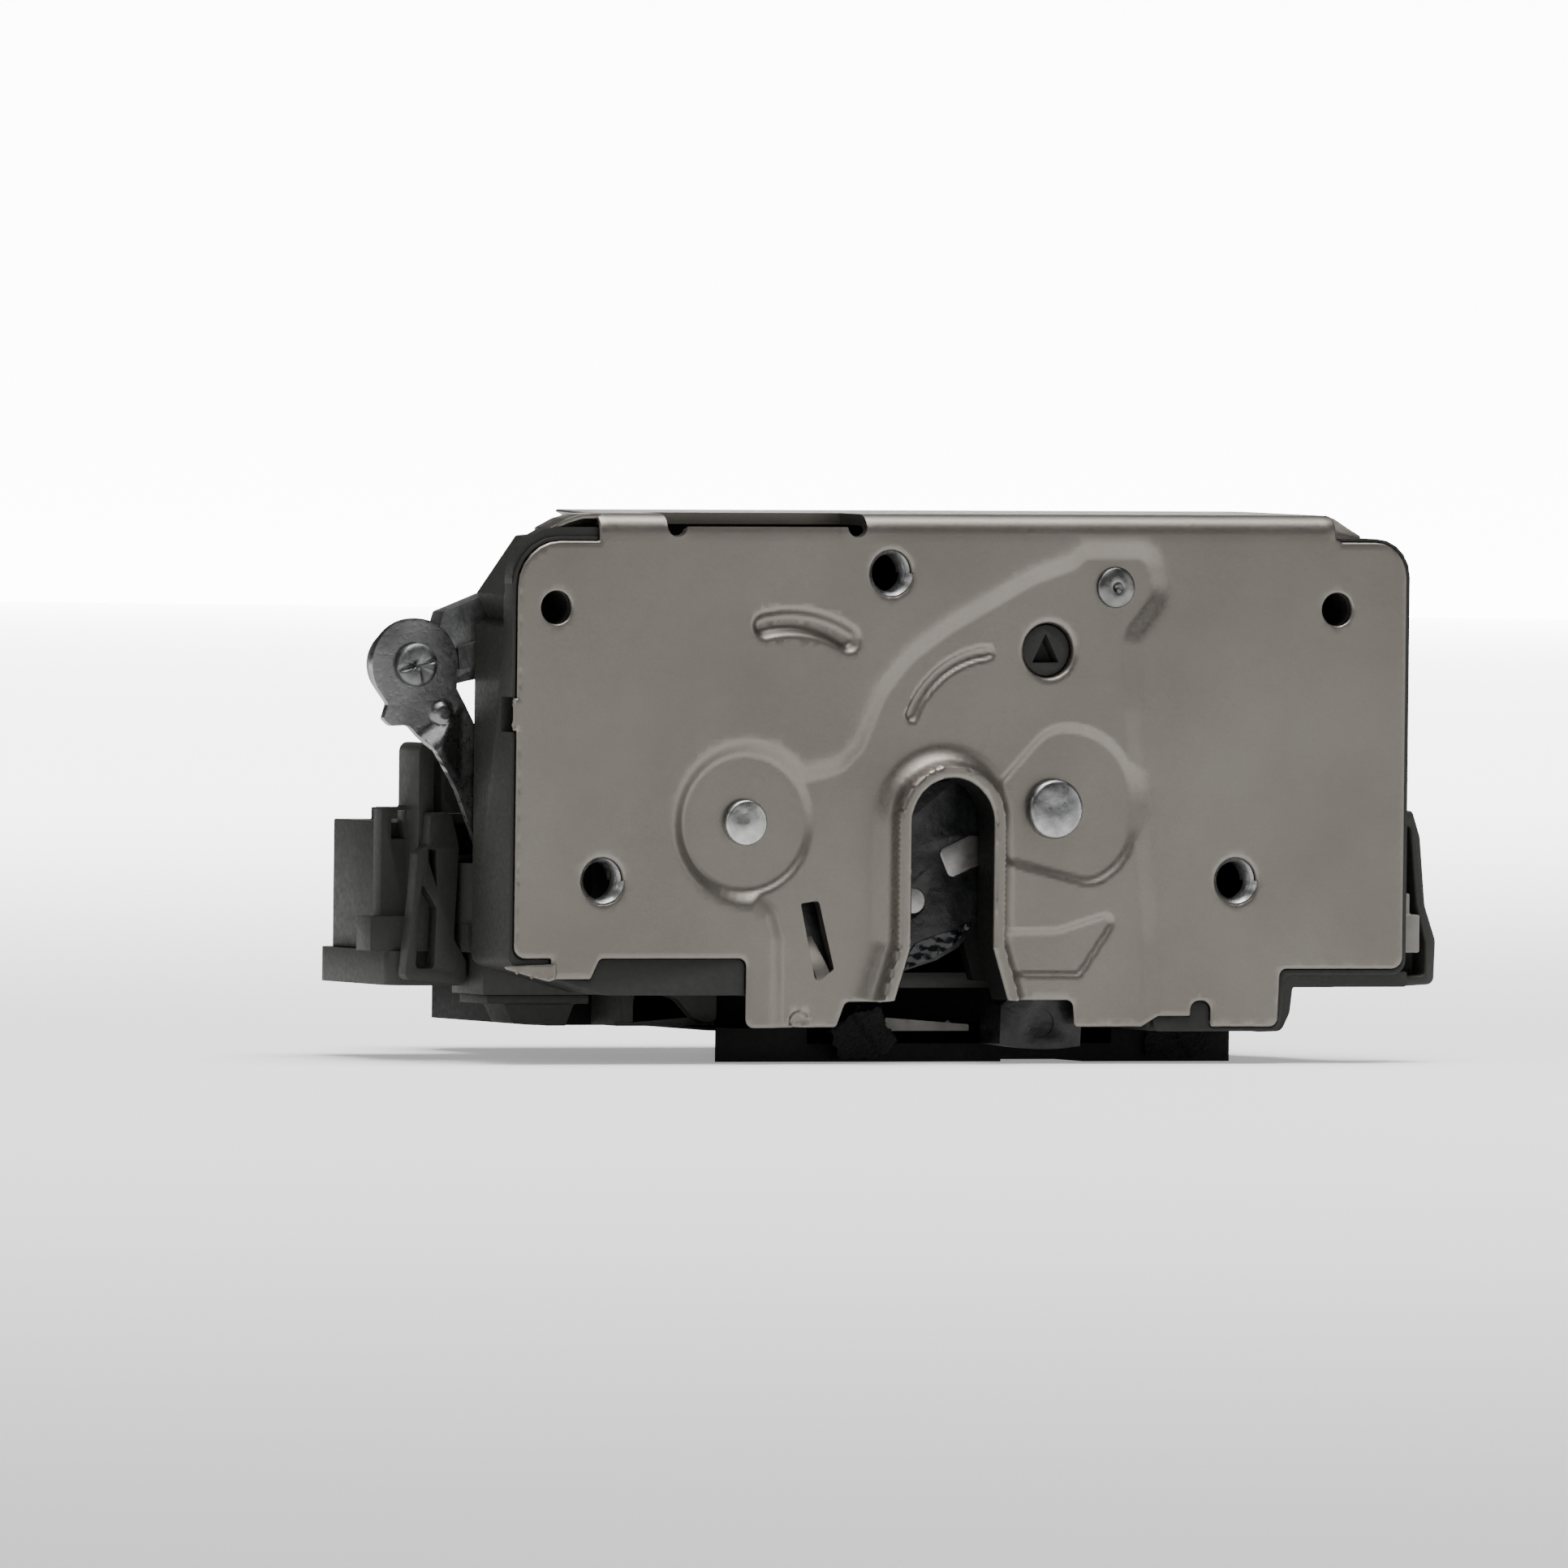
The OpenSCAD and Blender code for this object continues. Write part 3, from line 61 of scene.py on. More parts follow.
# camera and light
camera = {
    "azimuth": 24.5,  # how far to the left of the plate the lens stands
    "elevation": 1.35,
    "roll": 0.66,
    "frameWidth": 205.5,  # millimetres across the picture at the origin
    "right": -21.3,  # aim, from the origin
    "up": 5.1,
    "distance": 6000.0,
}


def aimCamera(c):
    az, el, roll = (math.radians(c[k]) for k in ("azimuth", "elevation", "roll"))
    forward = Vector((math.sin(az) * math.cos(el), math.cos(az) * math.cos(el), -math.sin(el)))
    side = Vector((math.cos(az), -math.sin(az), 0))
    top = side.cross(forward)
    right = side * math.cos(roll) + top * math.sin(roll)
    up = top * math.cos(roll) - side * math.sin(roll)
    aim = (right * c["right"] + up * c["up"]) * mm
    lens = bpy.data.cameras.new("camera")
    lens.sensor_width = 36
    lens.lens = 36 * c["distance"] / c["frameWidth"]
    lens.clip_end = 50
    obj = bpy.data.objects.new("camera", lens)
    bpy.context.scene.collection.objects.link(obj)
    turn = Matrix((right, up, -forward)).transposed().to_4x4()
    obj.matrix_world = Matrix.Translation(aim - forward * c["distance"] * mm) @ turn
    bpy.context.scene.camera = obj
    return forward, right


forward, right = aimCamera(camera)

lights = {
    "key": {"at": (-0.35, -0.6, 1.1), "size": 0.7, "power": 6},
    "top": {"at": (0.15, -0.1, 1.3), "size": 0.9, "power": 34},
    "right": {"at": (1.2, -0.9, 0.3), "size": 0.6, "power": 2.5},
    "left": {"at": (-1.3, -0.5, 0.5), "size": 0.5, "power": 2},
}
for name, light in lights.items():
    lamp = bpy.data.lights.new(name + "Light", "AREA")
    lamp.shape = "SQUARE"
    lamp.size = light["size"]
    lamp.energy = light["power"]
    obj = bpy.data.objects.new(name + "Light", lamp)
    bpy.context.scene.collection.objects.link(obj)
    obj.location = light["at"]
    obj.rotation_euler = (Vector((0, 0.02, 0)) - Vector(light["at"])).to_track_quat("-Z", "Y").to_euler()

world = bpy.data.worlds.new("studio")
bpy.context.scene.world = world
world.use_nodes = True
worldNodes = world.node_tree.nodes
worldNodes["Background"].inputs["Color"].default_value = (1, 1, 1, 1)
worldNodes["Background"].inputs["Strength"].default_value = 0.12
print("camera and lights set")


# material helpers
def newGroup(name, inputs, outputs):
    group = bpy.data.node_groups.new(name, "ShaderNodeTree")
    for label, kind, value in inputs:
        socket = group.interface.new_socket(name=label, in_out="INPUT", socket_type=kind)
        if value is not None:
            socket.default_value = value
    for label, kind in outputs:
        group.interface.new_socket(name=label, in_out="OUTPUT", socket_type=kind)
    return group, group.nodes.new("NodeGroupInput"), group.nodes.new("NodeGroupOutput")


def fineGrainGroup():
    # moulded or blasted skin: a fine height and a faint tone
    group, come, go = newGroup(
        "fineGrain",
        [
            ("Scale", "NodeSocketFloat", 1500),
            ("Depth", "NodeSocketFloat", 0.3),
            ("Distance", "NodeSocketFloat", 0.0001),
        ],
        [("Tone", "NodeSocketFloat"), ("Normal", "NodeSocketVector")],
    )
    coord = group.nodes.new("ShaderNodeTexCoord")
    noise = group.nodes.new("ShaderNodeTexNoise")
    noise.inputs["Detail"].default_value = 3
    noise.inputs["Roughness"].default_value = 0.6
    bump = group.nodes.new("ShaderNodeBump")
    link = group.links.new
    link(coord.outputs["Object"], noise.inputs["Vector"])
    link(come.outputs["Scale"], noise.inputs["Scale"])
    link(noise.outputs["Fac"], bump.inputs["Height"])
    link(come.outputs["Depth"], bump.inputs["Strength"])
    link(come.outputs["Distance"], bump.inputs["Distance"])
    link(noise.outputs["Fac"], go.inputs["Tone"])
    link(bump.outputs["Normal"], go.inputs["Normal"])
    return group


def smudgeGroup():
    # broad cloudy wear and a few thin scratches, 0 to 1
    group, come, go = newGroup(
        "smudge",
        [("Scale", "NodeSocketFloat", 40), ("Scratch Scale", "NodeSocketFloat", 60)],
        [("Cloud", "NodeSocketFloat"), ("Scratch", "NodeSocketFloat")],
    )
    coord = group.nodes.new("ShaderNodeTexCoord")
    cloud = group.nodes.new("ShaderNodeTexNoise")
    cloud.inputs["Detail"].default_value = 5
    stretch = group.nodes.new("ShaderNodeMapping")
    stretch.inputs["Rotation"].default_value = (0, 0.5, 0)
    stretch.inputs["Scale"].default_value = (1, 1, 14)
    lines = group.nodes.new("ShaderNodeTexNoise")
    lines.inputs["Detail"].default_value = 6
    lines.inputs["Roughness"].default_value = 0.7
    ramp = group.nodes.new("ShaderNodeValToRGB")
    ramp.color_ramp.elements[0].position = 0.66
    ramp.color_ramp.elements[1].position = 0.74
    link = group.links.new
    link(coord.outputs["Object"], cloud.inputs["Vector"])
    link(come.outputs["Scale"], cloud.inputs["Scale"])
    link(coord.outputs["Object"], stretch.inputs["Vector"])
    link(stretch.outputs["Vector"], lines.inputs["Vector"])
    link(come.outputs["Scratch Scale"], lines.inputs["Scale"])
    link(lines.outputs["Fac"], ramp.inputs["Fac"])
    link(cloud.outputs["Fac"], go.inputs["Cloud"])
    link(ramp.outputs["Color"], go.inputs["Scratch"])
    return group


grainGroup = fineGrainGroup()
smudges = smudgeGroup()


def finish(name, spec):
    material = bpy.data.materials.new(name)
    material.use_nodes = True
    tree = material.node_tree
    link = tree.links.new
    shader = tree.nodes["Principled BSDF"]
    shader.inputs["Metallic"].default_value = spec.get("metallic", 0)
    shader.inputs["IOR"].default_value = 1.47
    shader.inputs["Specular IOR Level"].default_value = spec.get("specular", 0.5)
    grain = tree.nodes.new("ShaderNodeGroup")
    grain.node_tree = grainGroup
    grain.inputs["Scale"].default_value = spec.get("grainScale", 1500)
    grain.inputs["Depth"].default_value = spec.get("grainDepth", 0.2)
    grain.inputs["Distance"].default_value = spec.get("grainDistance", 0.0001)
    wear = tree.nodes.new("ShaderNodeGroup")
    wear.node_tree = smudges
    wear.inputs["Scale"].default_value = spec.get("cloudScale", 40)
    wear.inputs["Scratch Scale"].default_value = spec.get("scratchScale", 60)
    tone = tree.nodes.new("ShaderNodeMix")
    tone.data_type = "RGBA"
    tone.inputs["A"].default_value = (*spec["dark"], 1)
    tone.inputs["B"].default_value = (*spec["light"], 1)
    spread = tree.nodes.new("ShaderNodeMapRange")
    spread.inputs["From Min"].default_value = 0.3
    spread.inputs["From Max"].default_value = 0.7
    link(wear.outputs["Cloud"], spread.inputs["Value"])
    link(spread.outputs["Result"], tone.inputs["Factor"])
    speck = tree.nodes.new("ShaderNodeMix")
    speck.data_type = "RGBA"
    speck.inputs["B"].default_value = (*spec.get("speck", spec["light"]), 1)
    speckAmount = tree.nodes.new("ShaderNodeMath")
    speckAmount.operation = "MULTIPLY"
    speckAmount.inputs[1].default_value = spec.get("scratchAmount", 0.15)
    link(wear.outputs["Scratch"], speckAmount.inputs[0])
    link(speckAmount.outputs["Value"], speck.inputs["Factor"])
    link(tone.outputs["Result"], speck.inputs["A"])
    link(speck.outputs["Result"], shader.inputs["Base Color"])
    rough = tree.nodes.new("ShaderNodeMapRange")
    rough.inputs["From Min"].default_value = 0.25
    rough.inputs["From Max"].default_value = 0.75
    rough.inputs["To Min"].default_value = spec["rough"][0]
    rough.inputs["To Max"].default_value = spec["rough"][1]
    link(grain.outputs["Tone"], rough.inputs["Value"])
    link(rough.outputs["Result"], shader.inputs["Roughness"])
    link(grain.outputs["Normal"], shader.inputs["Normal"])
    return material


# colours are linear; the names with an underscore are the record's own material slots
headSteel = {
    "metallic": 1, "rough": (0.22, 0.42), "cloudScale": 420, "grainScale": 900, "grainDepth": 0.4,
    "scratchAmount": 0.3, "scratchScale": 300,
}
moulded = {"specular": 0.3, "grainScale": 1300, "grainDepth": 0.3, "grainDistance": 0.00012}
finishes = {
    "zinc_steel": {
        "dark": (0.152, 0.14, 0.124), "light": (0.186, 0.173, 0.155), "metallic": 1, "rough": (0.36, 0.5),
        "grainScale": 2600, "grainDepth": 0.22, "grainDistance": 0.00006, "speck": (0.4, 0.39, 0.37),
    },
    "dark_steel": {
        "dark": (0.16, 0.156, 0.148), "light": (0.24, 0.235, 0.225), "metallic": 1, "rough": (0.35, 0.55),
    },
    "rivet_steel": {**headSteel, "dark": (0.13, 0.133, 0.133), "light": (0.32, 0.323, 0.318)},
    "pawlRivetSteel": {**headSteel, "dark": (0.2, 0.202, 0.2), "light": (0.43, 0.432, 0.42)},
    "spacerSteel": {
        **headSteel, "dark": (0.085, 0.086, 0.083), "light": (0.19, 0.192, 0.186), "rough": (0.25, 0.42),
    },
    "bright_steel": {
        "dark": (0.1, 0.101, 0.1), "light": (0.2, 0.201, 0.198), "metallic": 1, "rough": (0.22, 0.42),
        "cloudScale": 150, "grainDepth": 0.3, "scratchAmount": 0.35, "scratchScale": 200,
        "speck": (0.5, 0.5, 0.5),
    },
    "spring_steel": {
        "dark": (0.2, 0.2, 0.2), "light": (0.32, 0.32, 0.32), "metallic": 1, "rough": (0.3, 0.45),
    },
    "motor_can": {
        "dark": (0.3, 0.3, 0.3), "light": (0.38, 0.38, 0.38), "metallic": 1, "rough": (0.25, 0.4),
    },
    "zinc_casting": {
        "dark": (0.11, 0.112, 0.112), "light": (0.19, 0.192, 0.191), "metallic": 1, "rough": (0.35, 0.55),
        "cloudScale": 220, "grainScale": 700, "grainDepth": 0.5, "grainDistance": 0.0002,
        "scratchAmount": 0.3,
    },
    "brass": {
        "dark": (0.5, 0.36, 0.14), "light": (0.62, 0.47, 0.2), "metallic": 1, "rough": (0.25, 0.4),
    },
    "tinned_brass": {
        "dark": (0.5, 0.47, 0.4), "light": (0.6, 0.57, 0.5), "metallic": 1, "rough": (0.2, 0.35),
    },
    "black_plastic": {
        **moulded, "dark": (0.01, 0.01, 0.0092), "light": (0.017, 0.017, 0.0155), "rough": (0.5, 0.66),
        "grainDepth": 0.35, "speck": (0.05, 0.05, 0.05),
    },
    "grey_plastic": {
        **moulded, "dark": (0.016, 0.0164, 0.0145), "light": (0.024, 0.0245, 0.022),
        "rough": (0.48, 0.62), "speck": (0.08, 0.08, 0.08),
    },
    "claw_plastic": {
        "dark": (0.002, 0.002, 0.0024), "light": (0.0065, 0.0067, 0.0072), "rough": (0.22, 0.58),
        "specular": 0.32, "cloudScale": 260, "grainScale": 420, "grainDepth": 0.6,
        "grainDistance": 0.0003, "scratchAmount": 0.5, "speck": (0.06, 0.066, 0.075), "scratchScale": 240,
    },
    # near-black with little specular: painted shade, for the parts that stand in deep shade
    "deepBlack": {
        **moulded, "dark": (0.003, 0.003, 0.0028), "light": (0.006, 0.006, 0.0055), "rough": (0.55, 0.7),
        "specular": 0.15, "grainDistance": 0.0001, "speck": (0.03, 0.03, 0.03),
    },
    "palePad": {
        "dark": (0.13, 0.125, 0.112), "light": (0.17, 0.165, 0.15), "rough": (0.5, 0.7), "specular": 0.3,
        "cloudScale": 300, "scratchAmount": 0.4, "speck": (0.26, 0.255, 0.24), "scratchScale": 400,
    },
    "grease": {
        "dark": (0.001, 0.0011, 0.0015), "light": (0.004, 0.0045, 0.006), "rough": (0.12, 0.3),
        "specular": 0.4, "cloudScale": 500, "grainScale": 500, "grainDepth": 0.6, "grainDistance": 0.0003,
    },
    "natural_plastic": {"dark": (0.6, 0.57, 0.47), "light": (0.68, 0.65, 0.56), "rough": (0.35, 0.5)},
    "rubber": {"dark": (0.01, 0.01, 0.01), "light": (0.016, 0.016, 0.016), "rough": (0.6, 0.8)},
    "felt": {
        "dark": (0.004, 0.004, 0.004), "light": (0.013, 0.013, 0.013), "rough": (0.85, 1.0),
        "specular": 0.2, "grainScale": 2200, "grainDepth": 1.0, "grainDistance": 0.0005,
        "scratchAmount": 0.5, "speck": (0.05, 0.05, 0.05),
    },
}
materials = {name: finish(name, spec) for name, spec in finishes.items()}
print("materials made:", len(materials))


def dress(obj, slot):
    obj.data.materials.clear()
    obj.data.materials.append(materials[slot])


for name, obj in nodes.items():
    dress(obj, slotOf[name])


# mesh helpers
def deselectAll():
    if bpy.context.object and bpy.context.object.mode != "OBJECT":
        bpy.ops.object.mode_set(mode="OBJECT")
    bpy.ops.object.select_all(action="DESELECT")


def activate(obj):
    deselectAll()
    obj.select_set(True)
    bpy.context.view_layer.objects.active = obj


def newMesh(name, verts, faces, edges=()):
    mesh = bpy.data.meshes.new(name)
    mesh.from_pydata([tuple(v) for v in verts], [tuple(e) for e in edges], [tuple(f) for f in faces])
    mesh.update()
    obj = bpy.data.objects.new(name, mesh)
    bpy.context.scene.collection.objects.link(obj)
    return obj


def gridFaces(rows, cols):
    corners = [(j * cols + i, (j + 1) * cols + i) for j in range(rows - 1) for i in range(cols - 1)]
    return [(a, a + 1, b + 1, b) for a, b in corners]


def applyAll(obj):
    activate(obj)
    for modifier in list(obj.modifiers):
        bpy.ops.object.modifier_apply(modifier=modifier.name)


weld = (bpy.ops.mesh.remove_doubles, {"threshold": 0.000002})
outward = (bpy.ops.mesh.normals_make_consistent, {"inside": False})


def editAll(obj, *operators):
    # mesh operators with their settings, each run on the whole of obj
    activate(obj)
    bpy.ops.object.mode_set(mode="EDIT")
    for operator, settings in operators:
        bpy.ops.mesh.select_all(action="SELECT")
        operator(**settings)
    bpy.ops.object.mode_set(mode="OBJECT")


def thicken(obj, thickness, offset=-1):
    sheet = obj.modifiers.new("sheet", "SOLIDIFY")
    sheet.thickness = thickness * mm
    sheet.offset = offset
    return sheet


def breakEdges(obj, width, angle, segments=2):
    edge = obj.modifiers.new("edge", "BEVEL")
    edge.width = width * mm
    edge.segments = segments
    edge.limit_method = "ANGLE"
    edge.angle_limit = math.radians(angle)
    edge.use_clamp_overlap = True


def settle(obj, body, slot, *replaced):
    dress(obj, slot)
    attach(obj, body)
    if replaced:
        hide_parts(*replaced)
    return obj


def smooth(obj, angle):
    activate(obj)
    bpy.ops.object.shade_smooth_by_angle(angle=math.radians(angle))


def softened(node, width):
    # a copy of a CAD node, its triangles merged to faces and its edges broken
    data = nodes[node].data.copy()
    obj = bpy.data.objects.new(node + "_soft", data)
    bpy.context.scene.collection.objects.link(obj)
    editAll(obj, weld, (bpy.ops.mesh.dissolve_limited, {"angle_limit": math.radians(0.4)}))
    breakEdges(obj, width, 38)
    applyAll(obj)
    smooth(obj, 40)
    return settle(obj, bodyOf[node], slotOf[node], node)


# flat shapes
def arcCorner(a, b, c, r, n):
    # the corner at b between a and c, rounded with radius r
    a, b, c = (np.array(p[:2], float) for p in (a, b, c))
    u = (a - b) / np.linalg.norm(a - b)
    v = (c - b) / np.linalg.norm(c - b)
    half = math.acos(max(-1.0, min(1.0, float(u @ v)))) / 2
    mid = b + (u + v) / np.linalg.norm(u + v) * r / math.sin(half)
    start = b + u * r / math.tan(half) - mid
    end = b + v * r / math.tan(half) - mid
    a0 = math.atan2(start[1], start[0])
    turn = (math.atan2(end[1], end[0]) - a0 + math.pi) % (2 * math.pi) - math.pi
    angles = [a0 + turn * i / n for i in range(n + 1)]
    return [mid + r * np.array([math.cos(t), math.sin(t)]) for t in angles]


def softPath(points, n=5):
    # a closed outline from (x, z) or (x, z, corner radius)
    out = []
    for i, b in enumerate(points):
        if len(b) > 2 and b[2] > 0:
            out += arcCorner(points[i - 1], b, points[(i + 1) % len(points)], b[2], n)
        else:
            out.append(np.array(b[:2], float))
    return np.array(out)


def circlePath(x, z, r, n=48):
    angles = [2 * math.pi * i / n for i in range(n)]
    return np.array([[x + r * math.cos(t), z + r * math.sin(t)] for t in angles])


def groovePath(x, z, r, a0, a1, w, n=14):
    # a bent slot with round ends: middle, radius, both angles and width
    way = 1 if a1 > a0 else -1

    def arc(cx, cz, radius, start, end, count):
        angles = np.radians(np.linspace(start, end, count))
        return [np.array([cx + radius * math.cos(a), cz + radius * math.sin(a)]) for a in angles]

    e0, e1 = math.radians(a0), math.radians(a1)
    out = arc(x, z, r + w / 2, a0, a1, n)
    out += arc(x + r * math.cos(e1), z + r * math.sin(e1), w / 2, a1 + way * 22, a1 + way * 158, 7)
    out += arc(x, z, r - w / 2, a1, a0, n)
    out += arc(x + r * math.cos(e0), z + r * math.sin(e0), w / 2, a0 + way * 202, a0 + way * 338, 7)
    return np.array(out)


def resample(path, step):
    out = []
    for i in range(len(path)):
        a, b = path[i], path[(i + 1) % len(path)]
        count = max(1, int(np.linalg.norm(b - a) / step + 0.5))
        out += [a + (b - a) * k / count for k in range(count)]
    return np.array(out)


def insideOf(points, path):
    x, z = points[:, 0], points[:, 1]
    inside = np.zeros(len(points), bool)
    for a, b in zip(path, np.roll(path, -1, 0)):
        crosses = (a[1] > z) != (b[1] > z)
        slope = (b[0] - a[0]) / (b[1] - a[1] if abs(b[1] - a[1]) > 1e-12 else 1e-12)
        inside ^= crosses & (x < a[0] + (z - a[1]) * slope)
    return inside


def distanceTo(points, path):
    best = np.full(len(points), 1e9)
    for a, b in zip(path, np.roll(path, -1, 0)):
        ab = b - a
        t = np.clip(((points - a) @ ab) / max(float(ab @ ab), 1e-12), 0, 1)
        best = np.minimum(best, np.linalg.norm(points - a - t[:, None] * ab, axis=1))
    return best


def depthInside(points, path):
    return np.where(insideOf(points, path), 1, -1) * distanceTo(points, path)


def ease(t):
    t = np.clip(t, 0, 1)
    return t * t * (3 - 2 * t)


# sheets filled with points and turned into meshes
def staggered(xs, zs, step):
    return np.array([(x + (step / 2 if k % 2 else 0), z) for k, z in enumerate(zs) for x in xs])


def inSheet(points, outline, holes):
    inside = insideOf(points, outline)
    for hole in holes:
        inside &= ~insideOf(points, hole)
    return inside


def edgeDistance(points, loops):
    return np.min([distanceTo(points, path) for path in loops], axis=0)


def fillSheet(outline, holes, points):
    # flat points and faces between the outline and the holes
    loops = [outline, *holes]
    edges, at = [], 0
    for path in loops:
        n = len(path)
        edges += [(at + i, at + (i + 1) % n) for i in range(n)]
        at += n
    allPoints = [Vector(q) for q in np.vstack([*loops, *points])]
    verts, _, faces, _, _, _ = geometry.delaunay_2d_cdt(allPoints, edges, [], 0, 1e-6)
    flat = np.array([tuple(v) for v in verts])
    centres = np.array([flat[list(f)].mean(0) for f in faces])
    good = inSheet(centres, outline, holes)
    return flat, [f for f, ok in zip(faces, good) if ok]


def frontOut(obj):
    # no loose points, and the faces look at the viewer
    editAll(obj, (bpy.ops.mesh.delete_loose, {}), outward)
    if sum(f.normal.y * f.area for f in obj.data.polygons) > 0:
        obj.data.flip_normals()


# face plate
plate = {
    "thick": 1.5,
    "left": 61.8,
    "right": 66.4,
    "bendZ": 37.8,  # where the face ends and the bend starts
    "bendR": 2.6,
    "flange": (-50.2, 56.0, 30.0),  # from, to, reach into the door
    "flangeBackLeft": -43.4,
    "edgeRoll": 0.32,
    "channelDepth": 0.8,
    "recessDepth": 1.35,
    "pocketDepth": 1.25,
    "dimple": (-20.5, -26),
    "dimpleDepth": 0.85,
    "collarHeight": 2.5,
    "collarRim": 1.5,
    "collarWall": 0.85,
    "collarRun": 2.3,  # where the collar's foot runs out into the sheet
    "disc": (-28.5, 0, 9.2),
    "longGroove": (-22.6, 10.4, 15.9, 104, 59, 2.6),
    "shortGroove": (7.4, 9.2, 13.2, 158, 96, 2.1),
    "notch": (-40.5, -11.8, 38.75),  # from, to, foot of the opening in the bend
    "reliefR": 1.4,
    "taps": [(-49.3, -7.6), (42, -7.6), (-8.3, 32.7)],
    "tapR": 2.95,
    "plainHoles": [(-56.3, 28.1), (56.3, 28.1)],
    "plainR": 2.2,
    "rotorHole": (14.9, 22.6, 3.55),
    "windowDeep": 2.6,
    "grid": 0.85,
    "fineGrid": 0.38,
}
mouth = {"r": 5.95, "legEnd": -16.3, "flareX": 8.15, "flareZ": -23.2, "below": -27.9}


def plateEdge(p):
    # (x, length up the sheet, corner radius), from the lower left round to the mouth, and on from it
    bendS = p["bendZ"]
    flangeEnd = bendS + p["bendR"] * math.pi / 2 + p["flange"][2] - p["bendR"]
    x0, x1 = p["flange"][:2]
    left, right = p["left"], p["right"]
    return [
        (-left, -17.8, 1.6), (-left, 12, 0.15), (-left - 0.5, 12, 0.2), (-left - 0.5, 16.2, 0.2),
        (-left, 16.2, 0.15),
        (-left, 36.8, 6), (x0, 36.8, 0.3), (x0, bendS + 3.4, 2), (p["flangeBackLeft"], flangeEnd, 1),
        (x1, flangeEnd, 2), (x1, bendS - 0.4, 0.5),
        (x1 + 0.9, 36.9, 0.4), (right, 36.9, 4.5), (right, -19.2, 1.6),
        (48.6, -19.2, 1), (48.3, -26.8, 1.2),
        (38.6, -26.8, 0.4), (38.6, -23.4, 1.2), (35.7, -23.4, 1.2), (35.7, -25.4, 0.3),
        (31.1, -25.4, 0.4),
        (29, -26.8, 0.4), (19.3, -26.8, 0.6), (19, -23.3, 1), (9.6, -23.3, 0.6),
        (mouth["flareX"], mouth["flareZ"], 0.3), (mouth["r"], mouth["legEnd"], 0.8),
    ], [
        (-mouth["r"], mouth["legEnd"], 0.8), (-mouth["flareX"], mouth["flareZ"], 0.3),
        (-9.6, -23.4, 0.6), (-13.8, -23.5, 0.9), (-15.1, -26.8, 0.6),
        (-28.5, -26.9, 1.2), (-28.5, -17.8, 1), (-49.5, -17.8, 0.8), (-50.8, -20.5, 0.5),
        (-56.5, -20.5, 0.5), (-56.5, -17.8, 0.3),
    ]


def mouthTop():
    r = mouth["r"]
    return [(r * math.cos(a), r * math.sin(a)) for a in np.radians(np.linspace(0, 180, 25))]


def plateOutline(p):
    # the two halves of the edge meet in the half round top of the mouth
    first, second = plateEdge(p)
    return softPath(first + mouthTop() + second, 6)


def mouthPath():
    r, legEnd, x, z = mouth["r"], mouth["legEnd"], mouth["flareX"], mouth["flareZ"]
    right = [(x + plate["collarRim"], mouth["below"]), (x, z), (r, legEnd)]
    left = [(-r, legEnd), (-x, z), (-x - plate["collarRim"], mouth["below"])]
    return np.array(right + mouthTop() + left)


channelPath = softPath([
    (-23.4, -30.4, 0), (-23.5, -15, 2), (-24.6, -11.6, 2), (-26.7, -9.8, 1), (-28.5, -8, 0), (-28.5, 8, 0),
    (-21, 5.7, 2), (-14.9, 7.2, 4), (-12.2, 9.9, 3), (-9.1, 17, 8), (-5.3, 21.6, 12), (0.4, 25.5, 12),
    (6.1, 28.6, 12), (12.5, 32, 10), (18.2, 33.9, 2), (20, 35.4, 1.5), (29.2, 35.5, 2.5), (30.5, 30, 3),
    (26.2, 24.5, 3), (26.4, 14.7, 6), (28.1, -1.4, 10), (29.5, -15.4, 10), (29.9, -30.9, 0),
])
lobePath = softPath([
    (8.6, 5, 1.2), (15.2, 11.9, 5), (27.2, 12.3, 9), (26.9, -4, 7), (21.8, -7.6, 4), (9, -4.5, 0.8),
], 12)
pocketPath = softPath([
    (7.2, -14.5, 0.4), (16.9, -14.4, 4), (25.3, -11.9, 0.7), (19.8, -19.7, 0.5), (7.2, -19.6, 0.4),
], 6)
slotPath = softPath([
    (-20.5, -10.6, 0.25), (-17.9, -10.2, 0.5), (-15.6, -19.2, 0.3), (-18.2, -21.1, 0.6),
], 4)
discPath = circlePath(*plate["disc"])
longGroove = groovePath(*plate["longGroove"])
shortGroove = groovePath(*plate["shortGroove"])


